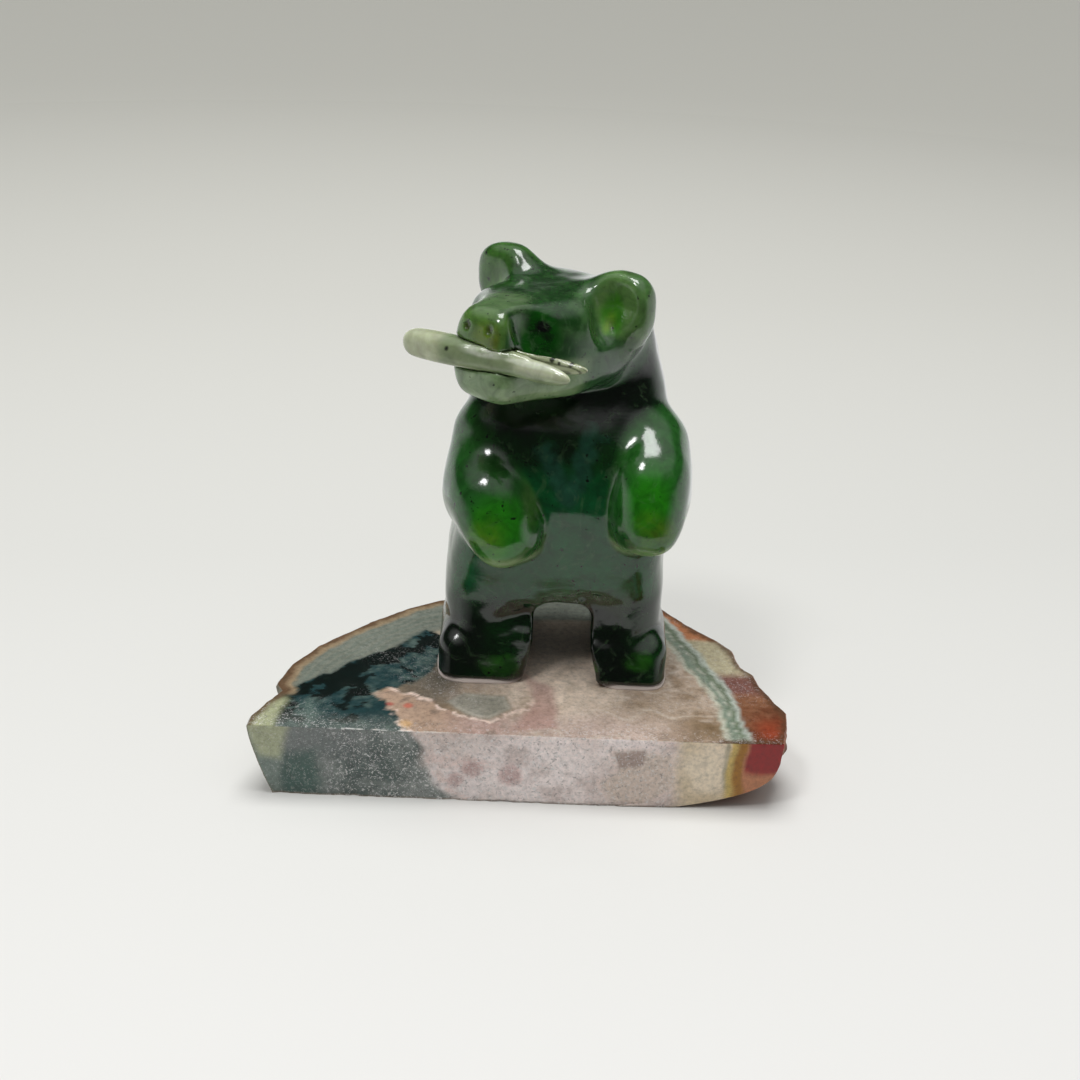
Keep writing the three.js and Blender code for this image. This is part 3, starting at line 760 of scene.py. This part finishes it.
def fish_paint(p):
    """Pale stone: greener where the dark jade shows through it, whitest where highlights are painted on the
    ridge and the front lobe's edge.
    """
    q = fish_frame(p)
    cloud = layered_noise(p, 5.0, 4, 91)
    fine = layered_noise(p, 1.3, 3, 93)
    behind = fade(-13, -9, q[:, 0]) * fade(9, 4, q[:, 0])
    ridge = near(q, (-1.0, -2.2, 1.8), (7.5, 1.8, 1.5), 0.6) * fade(-0.5, 0.3, fine + 0.2)
    back = fade(0.6, 1.2, q[:, 1]) * fade(3, 6, q[:, 0])
    grain = 0.5 + 0.5 * np.sin(7.5 * q[:, 1] + 4.5 * q[:, 2] + 0.8 * cloud)
    uneven = q + 0.25 * fine[:, None]
    colour = painted(
        tone(166, 174, 138),
        ((192, 198, 168), fade(-0.3, 0.4, cloud)),
        ((112, 134, 92), behind * (0.75 + 0.5 * cloud)),
        ((124, 146, 104), fade(0.4, -1.6, q[:, 2]) * fade(2, 6, q[:, 0]) * 0.7),
        # painted highlight along the ridge
        ((208, 214, 196), ridge * 0.9),
        # painted highlight along the top edge of the front lobe
        ((214, 220, 200), near(q, (11.5, -2.4, 1.3), (8.5, 1.4, 0.9), 0.5) * 0.9),
        ((74, 84, 54), back * fade(0.55, 0.95, grain) * 0.8),
        *[((14, 20, 10), near(uneven, at, (size, 1.6, size), 0.5) * 0.95) for at, size in FISH_SPECKS],
    )
    return np.clip(colour * (1 + 0.1 * fine[:, None]), 0, 1)


def make_fish():
    reach = FISH_LENGTH * 0.62
    low, high = np.array(FISH_POSITION) - (reach, reach, 7), np.array(FISH_POSITION) + (reach, reach, 7)
    points, faces = surface(fish_field, low, high, FISH_CELL)
    piece = mesh_object("jade_fish", placed(points), faces.tolist())
    point_colour(piece, "paint", fish_paint(points))
    piece.data.materials.append(pale_jade())
    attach(piece, "root")
    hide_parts("fish")


# The slab


# Shares of the slab's length and depth, from the left tip round the back to the right end of the sawn face
SLAB_OUTLINE = [
    (-0.5, 0.0), (-0.498, 0.06), (-0.478, 0.145), (-0.456, 0.22), (-0.47, 0.26), (-0.454, 0.4),
    (-0.415, 0.53), (-0.373, 0.62), (-0.31, 0.75), (-0.255, 0.84), (-0.19, 0.92), (-0.08, 0.98), (0.05, 1.0),
    (0.18, 1.0), (0.268, 0.975), (0.298, 0.895), (0.333, 0.81), (0.392, 0.695), (0.418, 0.625),
    (0.428, 0.515), (0.45, 0.465), (0.458, 0.385), (0.482, 0.28), (0.5, 0.215), (0.497, 0.155),
    (0.48, 0.024), (0.38, 0.014),
]
slab_size = [(b - a) / MM for a, b in zip(slab_low, slab_high)]
RIND_POINTS = 470
FRONT_POINTS = 290
SIDE_LEVELS = 32
TOP_RINGS = 66
HUB = np.array([-4.0, 14.0])  # the rings of the top and the underside close in on this place
RIND_LEAN, RIND_CURL = 3.2, 1.4  # millimetres that the rind leans in below, and how late
RIGHT_LEAN, RIGHT_CURL = 15.0, 4.2  # the same under the right end
TOP_SKIN = 0.05  # points within this depth are of the polished top
SAWN_REACH = 1.15  # the sawn face runs on this far past the corner of the outline at its right end


def rind_line():
    """Points at an even step from the left tip round the back to the right end of the sawn face."""
    corners = np.array(SLAB_OUTLINE) * slab_size[:2]
    lengths = np.hypot(*np.diff(corners, axis=0).T)
    travel = np.concatenate([[0], np.cumsum(lengths)])
    s = np.linspace(0, travel[-1], RIND_POINTS)
    return np.stack([np.interp(s, travel, corners[:, i]) for i in (0, 1)], axis=1)


def slab_ring(line, height):
    reach = np.hypot(*line.T)
    to_right = np.maximum(0, line[:, 0] / reach) ** 3
    lean = (1 - height) ** RIND_CURL * RIND_LEAN * (1 - to_right)
    lean = lean + (1 - height) ** RIGHT_CURL * RIGHT_LEAN * to_right
    p = np.column_stack([line, np.full(len(line), height * slab_size[2])])
    away = np.clip(line[:, 1] / 2.5, 0.12, 1) * (0.4 if height > 0.98 else 1)
    crust = 0.75 * layered_noise(p, 4.0, 5, 11) - 0.5 * np.maximum(0, layered_noise(p, 1.5, 2, 15))
    rind = line * (1 - (lean + crust * away) / reach)[:, None]
    t = np.arange(1, FRONT_POINTS)[:, None] / FRONT_POINTS
    front = mix(rind[-1], rind[0], t)
    q = np.column_stack([front, np.full(len(front), height * slab_size[2])])
    low_chips = 0.8 * np.maximum(0, layered_noise(q, 2.6, 3, 21)) * fade(1.5, 0, q[:, 2])
    front[:, 1] += low_chips + 0.03 * value_noise(q, 0.7, 23)
    ring = np.concatenate([rind, front])
    return np.column_stack([ring, np.full(len(ring), height * slab_size[2])])


def towards_hub(ring, share):
    out = ring.copy()
    out[:, :2] = mix(HUB, ring[:, :2], share)
    return out


def make_slab():
    line = rind_line()
    rings = [slab_ring(line, h) for h in np.linspace(0, 0.985, SIDE_LEVELS)]
    edge = slab_ring(line, 1.0)
    nicks = 0.16 * np.maximum(0, layered_noise(edge, 1.3, 3, 27))
    lip = edge - np.column_stack([0 * nicks, 0 * nicks, 0.1 + nicks])
    under = [towards_hub(rings[0], s) for s in (0.04, 0.5, 0.9)]
    top = [towards_hub(edge, s) for s in (0.9955, *np.linspace(0.985, 0.02, TOP_RINGS))]
    points = np.concatenate([*under, *rings, lip, *top])
    count, levels = len(edge), len(under) + len(rings) + 1 + len(top)
    n = np.arange(count)
    # the rings run clockwise seen from above
    quads = ring_quads(count, levels)[:, [0, 3, 2, 1]]
    faces = [*quads.tolist(), n.tolist(), (len(points) - count + n[::-1]).tolist()]
    low, high = points.min(axis=0), points.max(axis=0)
    place = (points - low) / (high - low) * np.array(slab_high - slab_low) + np.array(slab_low)
    piece = mesh_object("agate_slice", place, faces)
    piece.data.set_sharp_from_angle(angle=math.radians(35))
    past_corner = (np.append(line[:, 1], np.zeros(FRONT_POINTS - 1)) < SAWN_REACH) & (edge[:, 0] > 0)
    sawn = (np.arange(count) >= RIND_POINTS) | past_corner
    on_top = points[:, 2] > slab_size[2] - TOP_SKIN
    on_front = np.tile(sawn, levels) & ~on_top
    paint, rough, sugar_and_sparkle = slab_paint(points, on_front, on_top)
    point_colour(piece, "paint", paint)
    point_value(piece, "rough", rough)
    point_value(piece, "sugar_and_sparkle", sugar_and_sparkle)
    piece.data.materials.append(agate())
    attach(piece, "root")
    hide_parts("agate_slab")


# Places on the top, in millimetres along the slab and behind the sawn face
MOSS_EDGE = [
    (-36.3, 6.2), (-32.6, 11.2), (-30.3, 14.1), (-27.9, 15.9), (-26, 18.9), (-23.3, 21.4), (-20.1, 23.4),
    (-18.2, 27.1), (-16.4, 29.1), (-13.6, 27.5),
]
MOSS = [
    *MOSS_EDGE, (-13.2, 22), (-14.5, 16), (-16.5, 12.5), (-19, 12), (-21.6, 9.6), (-18.8, 6.2), (-17, 3),
    (-15.5, -1), (-35, -1),
]
PINK_EDGE = [(-19.1, 11.8), (-17.1, 10.4), (-12.9, 8.2), (-10, 5.9), (-7, 4.1), (-4.4, 3.4), (-1.8, 5.6)]
PINK_BAND = [(-21.6, 9.5), *PINK_EDGE, (-0.4, 3), (-1.0, -1), (-14.8, -1), (-16.6, 2.4), (-18.8, 6.2)]
PINK_VEINS = [[*PINK_EDGE, (0.9, 8.6), (0.6, 11), (-0.6, 13.4)], PINK_BAND[-3:]]
QUARTZ = [(-11.6, 8.4), (-9.0, 11.2), (-2.4, 11.0), (-1.6, 7.2), (-4.4, 4.2), (-7.1, 4.8), (-9.6, 6.6)]
PINK_PATCH = [(0.1, 17.8), (4.6, 13.4), (5.0, 2.5), (-1.4, 1.5), (1.2, 9.8)]
STRIPE_INNER = [(19, 36), (21.2, 31.3), (22.9, 26.3), (26, 18.7), (28, 10.9), (28.5, 3.9), (28.9, -1)]
# How far out each band of the double stripe lies, half its width, and its shade
STRIPE_BANDS = [
    (0.0, 0.35, (176, 178, 162)),
    (0.95, 0.5, (112, 130, 114)),
    (1.65, 0.25, (164, 168, 154)),
    (2.25, 0.55, (96, 112, 92)),
    (3.05, 0.35, (166, 174, 164)),
]

# Places on the sawn face, in millimetres along the slab and up from its underside
FRONT_STRIPE = [(28.6, 12), (29.0, 5), (29.4, 1.5)]
FRONT_BORDER = ([0.1, 2.4, 5.4, 7.9, 10.6], [-8.5, -11.9, -12.9, -13.2, -15.2])  # heights, places along
FRONT_TEAL = [(-33.4, 6.8), (-28.4, 7.4), (-27.9, -1), (-33.6, -1)]
FRONT_TIP = [(-39, 12), (-36.4, 6.2), (-33.9, 6.0), (-31.8, 12)]
FRONT_GROWTHS = [(-1.4, 4.5, 1.5), (-6.6, 5.2, 1.3), (-9.2, 3.4, 1.0)]
FRONT_LENS = [(13.1, 9), (13.8, 6), (11.2, 3.5), (13, 0.6), (17, 0.2), (21.6, 3.6), (21.2, 8.4), (16.4, 9.3)]
FRONT_FACET = [(13.0, 9.1), (13.6, 6.2), (17.2, 7.0), (17.6, 9.3)]


def stripe_across(flat):
    """Distance outwards from the inner line of the double stripe."""
    across, behind = np.array(STRIPE_INNER[::-1]).T
    outwards = np.interp(flat[:, 1], behind, across)
    return near_line(flat, STRIPE_INNER) * np.sign(flat[:, 0] - outwards)


def quartz_body(broad, fine, warp):
    return painted(
        tone(140, 120, 98),
        ((170, 152, 134), fade(-0.05, 0.35, broad + 0.3 * fine)),
        ((112, 92, 66), fade(0.0, 0.4, -broad + 0.4 * fine) * 0.75),
        ((196, 182, 168), fade(0.22, 0.45, np.abs(warp[:, 2]) + 0.3 * fine) * 0.5),
    )


def middle_paint(p, flat, warp, fine, broad):
    """The clear quartz and the zones in the middle of the top."""
    x, y = flat.T
    front_middle = fade(15, 5, np.hypot((x - 6) * 0.7, (y - 1) * 1.5))
    # painted light: the top lighter under the bear, where the bear shades it
    painted_light_under_bear = fade(11, 5, np.hypot((x - 5) * 0.8, (y - 20) * 0.6))
    cracks = fade(0.07, 0.02, np.abs(layered_noise(p, 7.0, 3, 95)))
    quartz = inside_of(flat, QUARTZ)
    dim = fade(4.5, 1.0, np.hypot((x + 12.5) * 0.8, (y - 18) * 0.45))
    return painted(
        quartz_body(broad, fine, warp),
        ((188, 168, 158), front_middle * (0.75 + 0.5 * fine)),
        ((226, 208, 190), painted_light_under_bear * (0.9 + 0.6 * fine)),
        ((206, 194, 180), cracks * 0.35 * fade(-8, -2, x)),
        ((170, 158, 140), fade(20, 26, y) * 0.8),
        ((172, 136, 126), fade(0.8, -0.8, inside_of(flat, PINK_PATCH)) * 0.7),
        ((142, 140, 128), fade(0.4, -0.8, quartz) * 0.9),
        ((178, 172, 158), fade(0.5, 0.1, np.abs(quartz + 0.7)) * 0.4),
        ((74, 68, 58), dim * (0.85 + 0.4 * fine)),
        ((90, 86, 76), fade(6.5, 2.0, np.hypot(x + 14, (y - 12) * 0.8)) * 0.7),
    )


def left_paint(colour, p, flat, warp, fine, broad, rim):
    """The grey layer inside the rind, the moss inside that, and the tan rind itself."""
    x, y = flat.T
    streaks = np.sin((rim + 0.6 * warp[:, 0]) * 5.0) * 0.5 + 0.5
    grey = painted(
        tone(102, 112, 104),
        ((128, 130, 116), streaks * 0.45),
        ((84, 98, 88), fade(0.1, 0.5, fine) * 0.6),
    )
    teal = painted(tone(30, 56, 58), ((80, 98, 92), fade(-0.2, 0.5, fine + broad * 0.7)))
    sandy = painted(tone(142, 124, 98), ((166, 146, 126), fade(0, 0.5, broad)))
    inner = fade(0.35, -0.35, inside_of(flat + warp[:, 1:] * 1.3 + fine[:, None] * (0.9, 1.6), MOSS))
    from_edge = near_line(flat, MOSS_EDGE)
    clumps = layered_noise(p, 3.4, 5, 71) + 0.8 * layered_noise(p, 1.3, 3, 72)
    clumps = fade(-0.1, 0.12, clumps + 0.6 * fade(8.0, 0.5, from_edge) - 0.34)
    colour = over(colour, grey, fade(9.5, 8.0, rim) * fade(20.5, 18.5, x) * 0.92)
    colour = painted(
        over(colour, teal, inner),
        ((3, 15, 11), inner * clumps * 0.97),
        ((38, 62, 34), inner * fade(1.2, 0.2, from_edge) * fade(0.1, 0.5, fine) * 0.7),
        ((96, 104, 98), inner * fade(5.5, 0.5, y) * 0.55),
    )
    tan = fade(2.1, 1.4, rim + 0.7 * fine + 0.5 * broad) * fade(26, 23, x) * fade(8, 9.5, y)
    colour = over(colour, sandy, tan * 0.95)
    return over(colour, tone(158, 162, 128), fade(-33.2, -34.6, x) * fade(9.0, 6.5, y) * 0.9)


def pink_paint(colour, p, flat, fine, broad):
    """The pink band and its veins."""
    x, y = flat.T
    ragged = flat + np.stack([layered_noise(p, 1.3, 4, s) for s in (97, 98)], axis=1) * 1.5
    vein = np.minimum(*[near_line(ragged, line) for line in PINK_VEINS])
    rosy = painted(
        tone(176, 150, 130),
        ((178, 150, 140), fade(-14, -6, x)),
        ((128, 112, 100), fade(0.0, 0.35, fine + 0.3 * broad) * 0.85),
    )
    return painted(
        over(colour, rosy, fade(0.15, -0.15, inside_of(ragged, PINK_BAND)) * fade(0, -4, x) * 0.85),
        ((222, 200, 186), fade(0.75, 0.15, vein) * fade(-0.35, 0.1, fine) * 0.9),
        ((190, 90, 72), fade(0.9, 0.3, np.hypot(x + 16.4, y - 7.1)) * 0.7),
        ((176, 70, 66), fade(0.7, 0.2, np.hypot(x + 18.9, y - 7.2)) * 0.7),
        ((196, 158, 108), fade(1.4, 0.4, np.hypot(x + 16, y - 2.4)) * 0.8),
    )


def right_paint(colour, flat, warp, fine, broad):
    """The right end, and the double stripe on its inner side."""
    x, y = flat.T
    out = stripe_across(flat)
    t = y + 1.5 * warp[:, 2]
    end = painted(
        tone(98, 58, 38),
        ((132, 92, 66), fade(-0.2, 0.4, broad + 0.4 * fine)),
        ((140, 62, 38), fade(32.0, 35.0, x) * fade(10, 4, y) * 0.9),
        ((112, 76, 68), fade(12.0, 15.0, t)),
        ((168, 160, 132), fade(18.2, 21.0, t)),
        ((168, 112, 76), fade(29.4, 31.6, t)),
    )
    colour = over(colour, end, fade(2.6, 3.3, out + 0.2 * fine))
    for middle, half, shade in STRIPE_BANDS:
        band = fade(half + 0.25, half - 0.15, np.abs(out + 0.12 * fine - middle))
        colour = over(colour, tone(*shade), band * 0.9)
    return colour


def top_paint(p, warp, fine, broad, rim):
    flat = p[:, :2] + warp[:, :2] * 0.9
    colour = middle_paint(p, flat, warp, fine, broad)
    colour = left_paint(colour, p, flat, warp, fine, broad, rim)
    colour = pink_paint(colour, p, flat, fine, broad)
    colour = right_paint(colour, flat, warp, fine, broad)
    colour = over(colour, tone(84, 60, 42), fade(1.5, 0.4, rim + 0.9 * fine) * 0.85)
    # small chips catch the light along the sawn edge
    nicked = fade(0.42, 0.2, p[:, 1]) * fade(-0.05, 0.2, layered_noise(p, 1.1, 3, 91))
    return over(colour * 1.06, tone(236, 234, 228), nicked * fade(-36, -34, flat[:, 0]) * 0.85)


def front_paint(p, warp, fine, broad):
    flat = np.column_stack([p[:, 0], p[:, 2]]) + warp[:, [0, 2]] * 0.7
    x, z = flat.T
    glow = fade(14, 4, np.hypot(x - 2, (z - 5) * 1.4))
    colour = painted(
        tone(204, 190, 184),
        ((222, 212, 210), np.maximum(glow * 0.75, fade(-0.1, 0.35, broad + 0.4 * fine) * 0.8)),
        ((168, 150, 144), fade(0.05, 0.4, -broad + 0.4 * fine) * 0.6),
    )
    # grey sugar to the left of a slanting border
    border = np.interp(z, *FRONT_BORDER)
    left = fade(0.6, -0.9, x - border)
    grey = painted(tone(66, 80, 76), ((124, 130, 126), fade(-0.3, 0.3, broad + 0.4 * fine)))
    vein = np.abs(x - border - 0.8 - 1.6 * layered_noise(p, 2.0, 4, 99))
    spread = fade(1.6, 0.4, np.abs(z - 6.2 + 1.2 * fine)) * fade(-15, -12, x) * fade(-2, -6, x)
    colour = painted(
        over(colour, grey, left),
        ((92, 98, 98), left * fade(4, 8, z) * fade(-18, -24, x) * 0.6),
        ((216, 194, 186), fade(1.1, 0.2, vein) * fade(-0.3, 0.15, fine) * 0.8),
        ((206, 182, 174), spread * 0.6),
        ((50, 80, 72), fade(1.2, -1.2, inside_of(flat, FRONT_TEAL)) * 0.9),
        ((108, 122, 114), fade(-33.0, -34.2, x) * 0.85),
        ((162, 166, 134), fade(0.8, -0.8, inside_of(flat, FRONT_TIP)) * 0.9),
    )
    for across, up, size in FRONT_GROWTHS:
        r = np.hypot(x - across, z - up)
        colour = over(colour, tone(164, 128, 124), fade(size + 0.6, size - 0.3, r) * 0.7)
        colour = over(colour, tone(206, 184, 180), fade(0.4, 0.1, np.abs(r - size)) * 0.5)
    lens = inside_of(flat, FRONT_LENS)
    cream = fade(20.8, 23.4, x)
    colour = painted(
        colour,
        ((188, 172, 160), fade(0.35, -0.35, lens) * 0.9),
        ((204, 188, 180), fade(0.5, 0.1, np.abs(lens - 0.3)) * 0.6),
        ((136, 116, 108), fade(0.3, -0.3, inside_of(flat, FRONT_FACET)) * 0.75),
        ((206, 192, 168), cream * 0.85),
        ((168, 148, 112), cream * fade(0.1, 0.4, -broad) * 0.5),
    )
    return painted(
        colour * (1.1 + 0.14 * fade(-10, 4, x))[:, None],
        ((150, 142, 116), fade(0.5, 0.15, near_line(flat, FRONT_STRIPE)) * 0.7),
        ((196, 170, 96), fade(28.9, 29.4, x)),
        ((150, 100, 0), fade(29.7, 30.5, x)),
        ((178, 116, 78), fade(31.2, 31.7, x)),
        ((140, 0, 0), fade(31.5, 32.0, x) * fade(5.4, 6.8, z + 0.5 * fine)),
    )


def crust_paint(p, fine, broad):
    right = fade(24, 31, p[:, 0])
    return painted(
        tone(128, 104, 76),
        ((84, 62, 42), fade(-0.1, 0.35, fine + 0.4 * broad) * 0.8),
        ((150, 140, 116), fade(0.15, 0.5, -fine) * 0.6),
        ((104, 112, 98), fade(-30, -35, p[:, 0]) * 0.7),
        ((150, 84, 56), right * 0.7),
        ((92, 58, 44), right * fade(0, 0.4, fine) * 0.8),
    )


def slab_paint(points, on_front, on_top):
    """Colour, roughness and sugary grain of the slab; the grain mask also places painted sparkle and painted
    pit shade.
    """
    outline = np.array(SLAB_OUTLINE) * slab_size[:2]
    warp = np.stack([layered_noise(points, 5.0, 4, s) for s in (31, 32, 33)], axis=1)
    fine = layered_noise(points, 1.6, 4, 41)
    broad = layered_noise(points, 11.0, 4, 51)
    rim = near_line(points[:, :2], outline) + 0.4 * warp[:, 0]
    crust = crust_paint(points, fine, broad)
    colour = np.where(on_top[:, None], top_paint(points, warp, fine, broad, rim), crust)
    # the sawn face ends where the rind begins to lean in
    colour = np.where(on_front[:, None], front_paint(points, warp, fine, broad), colour)
    below = points[:, 2] < 0.01
    sole = over(quartz_body(broad, fine, warp), tone(120, 112, 100), np.full(len(points), 0.5))
    colour = np.where(below[:, None], sole, colour)
    polished = 0.14 + 0.1 * fade(0.2, 0.5, fine)
    rough = np.where(on_top, polished, np.where(on_front, 0.34, 0.7))
    along_front = fade(24, 20, points[:, 0]) * mix(0.35, 1, fade(-29, -24, points[:, 0]))
    sugar_and_sparkle = np.where(on_front, along_front, 0.0)
    on_polish = 0.35 * fade(-0.1, 0.4, broad) + 0.5 * fade(5, 1, points[:, 1])
    sugar_and_sparkle = np.where(on_top, on_polish, sugar_and_sparkle)
    return np.clip(colour, 0, 1), rough, np.clip(sugar_and_sparkle, 0, 1)


# Adhesive


BEAD = 0.25  # millimetres that a bead stands up along the front
PAD_POINTS = 96
PAD_POWER = 5.0  # how boxy the pad's outline is
# height from -1 to 1, and the share of the outline that the pad reaches there
PAD_PROFILE = [(-1.0, 1.0), (-0.6, 0.998), (-0.1, 0.988), (0.35, 0.97), (0.75, 0.945), (1.0, 0.91)]


def make_adhesive(node, name):
    """A squeezed-out pad: the CAD pad's outline with a soft, slightly uneven edge."""
    low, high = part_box(node)
    centre, half = np.array((low + high) / 2), np.array((high - low) / 2)
    angle = np.linspace(0, 2 * math.pi, PAD_POINTS, endpoint=False)
    c, s = np.cos(angle), np.sin(angle)
    power = 2 / PAD_POWER
    edge = np.column_stack([np.sign(c) * np.abs(c) ** power, np.sign(s) * np.abs(s) ** power])
    levels = []
    for z, reach in PAD_PROFILE:
        heights = np.full(PAD_POINTS, z)
        wobble = 1 - 0.012 * (1 + value_noise(np.column_stack([edge * 3, heights]), 1.1, 61))
        levels.append(np.column_stack([edge * (reach * wobble)[:, None], heights]))
    points = np.concatenate(levels) * half + centre
    # the bead is where most of the adhesive came out
    x, y = np.tile(edge, (len(levels), 1)).T
    front = fade(-0.55, -0.95, y) * fade(0.9, 0.3, np.abs(x + 0.1))
    upper = np.arange(len(points)) // PAD_POINTS > 2
    points[:, 2] += front * upper * BEAD * MM
    n = np.arange(PAD_POINTS)
    caps = [n[::-1].tolist(), (len(points) - PAD_POINTS + n).tolist()]
    piece = mesh_object(name, points, [*ring_quads(PAD_POINTS, len(levels)).tolist(), *caps])
    piece.data.materials.append(clear_adhesive())
    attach(piece, "root")
    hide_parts(node)


make_bear()
make_fish()
make_slab()
make_adhesive("adhesive_right_foot", "adhesive_right")
make_adhesive("adhesive_left_foot", "adhesive_left")


# Stage


FLOOR_GAP = 0.00002  # metres between the slab's underside and the paper
NEAR_FLOOR, FAR_FLOOR = 0.095, 0.6  # metres out to the end of the near part and of the whole flat floor
BEND = 0.5  # radius of the paper's bend up to the wall
WALL_TOP = 1.4
STAGE_SEGMENTS = 128


def revolved(name, profile, material):
    angle = np.linspace(0, 2 * math.pi, STAGE_SEGMENTS, endpoint=False)
    c, s = np.cos(angle), np.sin(angle)
    rings = [np.column_stack([r * c, r * s, np.full(STAGE_SEGMENTS, z)]) for r, z in profile]
    piece = mesh_object(name, np.concatenate(rings), ring_quads(STAGE_SEGMENTS, len(rings)).tolist())
    piece.data.materials.append(material)
    return piece


def paper():
    """White paper, dimmer further back where less light falls on it."""
    material, tree, bsdf = node_material("sweep_paper")
    place = add(tree, "ShaderNodeSeparateXYZ", {"Vector": add(tree, "ShaderNodeTexCoord").outputs["Object"]})
    behind = maths(tree, "ADD", place.outputs["Y"], maths(tree, "MULTIPLY", place.outputs["X"], -0.12))
    stops = [
        (0.04, (0.75, 0.745, 0.73)),
        (0.2, (0.63, 0.63, 0.6)),
        (0.34, (0.62, 0.618, 0.575)),
        (0.6, (0.66, 0.657, 0.6)),
        (0.95, (0.7, 0.697, 0.635)),
    ]
    shade = ramp(tree, maths(tree, "MULTIPLY_ADD", behind, 0.8, 0.15), stops)
    tree.links.new(shade, bsdf.inputs["Base Color"])
    set_values(bsdf, {
        "Roughness": 0.9,
        "Specular IOR Level": 0.1,
    })
    return material


def make_stage():
    sheet = paper()
    floor_z = slab_low.z - FLOOR_GAP
    revolved("sweep_floor", [(0.0005, floor_z), (NEAR_FLOOR, floor_z)], sheet)
    # further out the polished stone mirrors the room instead of the paper
    outer = revolved("sweep_outer", [(NEAR_FLOOR, floor_z), (0.3, floor_z), (FAR_FLOOR, floor_z)], sheet)
    outer.visible_glossy = False
    turns = np.linspace(0, math.pi / 2, 16)
    bend = [(FAR_FLOOR + BEND * math.sin(a), floor_z + BEND * (1 - math.cos(a))) for a in turns]
    wall = revolved("sweep_wall", [*bend, (FAR_FLOOR + BEND, WALL_TOP)], sheet)
    wall.visible_glossy = False
    wall.visible_diffuse = False
    wall.visible_shadow = False
    wall.visible_transmission = False


def area_light(name, place, target, size, power):
    data = bpy.data.lights.new(name, "AREA")
    data.shape = "RECTANGLE"
    data.size = data.size_y = size
    data.energy = power
    light = bpy.data.objects.new(name, data)
    light.location = place
    light.rotation_euler = (Vector(target) - Vector(place)).to_track_quat("-Z", "Y").to_euler()
    bpy.context.scene.collection.objects.link(light)


def make_world():
    world = bpy.data.worlds.new("studio")
    bpy.context.scene.world = world
    world.use_nodes = True
    tree = world.node_tree
    background = tree.nodes["Background"]
    direction = add(tree, "ShaderNodeTexCoord").outputs["Generated"]
    split = add(tree, "ShaderNodeSeparateXYZ", {"Vector": direction})
    up, back = split.outputs["Z"], split.outputs["Y"]
    # white paper low behind and at the sides, the dim room above it, and a broad soft light overhead
    overhead = ramp(tree, up, [(0.0, 0.04), (0.6, 0.05), (0.78, 0.62), (1.0, 0.8)])
    low = ramp(tree, up, [(0.0, 0.95), (0.14, 0.75), (0.3, 0.0)])
    around = ramp(tree, maths(tree, "MULTIPLY_ADD", back, 0.5, 0.5), [(0.12, 0.0), (0.4, 1.0)])
    sky = mixed(tree, 1.0, overhead, mixed(tree, 1.0, low, around, "MULTIPLY"), "ADD")
    tree.links.new(sky, background.inputs["Color"])
    background.inputs["Strength"].default_value = 1.0


def make_lights():
    area_light("overhead", (0.0, 0.05, 0.75), (0, 0, 0.03), 0.36, 3.9)
    area_light("key", (-0.19, -0.23, 0.52), (0, 0, 0.03), 0.1, 0.8)


CAMERA_TARGET = (1.31, -1.53, 31.6)  # millimetres
CAMERA_DISTANCE = 213.9
CAMERA_ELEVATION = 25
CAMERA_ROLL = 2.5
CAMERA_LENS, CAMERA_SENSOR = 49.45, 36


def make_camera():
    data = bpy.data.cameras.new("camera")
    data.sensor_width = CAMERA_SENSOR
    data.lens = CAMERA_LENS
    camera = bpy.data.objects.new("camera", data)
    bpy.context.scene.collection.objects.link(camera)
    bpy.context.scene.camera = camera
    e, r = math.radians(CAMERA_ELEVATION), math.radians(CAMERA_ROLL)
    back = Vector((0, -math.cos(e), math.sin(e)))
    right = Vector((1, 0, 0))
    up = right.cross(-back)
    turned_right, turned_up = right * math.cos(r) + up * math.sin(r), up * math.cos(r) - right * math.sin(r)
    matrix = Matrix((turned_right, turned_up, back)).transposed().to_4x4()
    matrix.translation = (Vector(CAMERA_TARGET) + back * CAMERA_DISTANCE) * MM
    camera.matrix_world = matrix


make_stage()
make_world()
make_lights()
make_camera()
bpy.context.scene.view_settings.view_transform = "Standard"
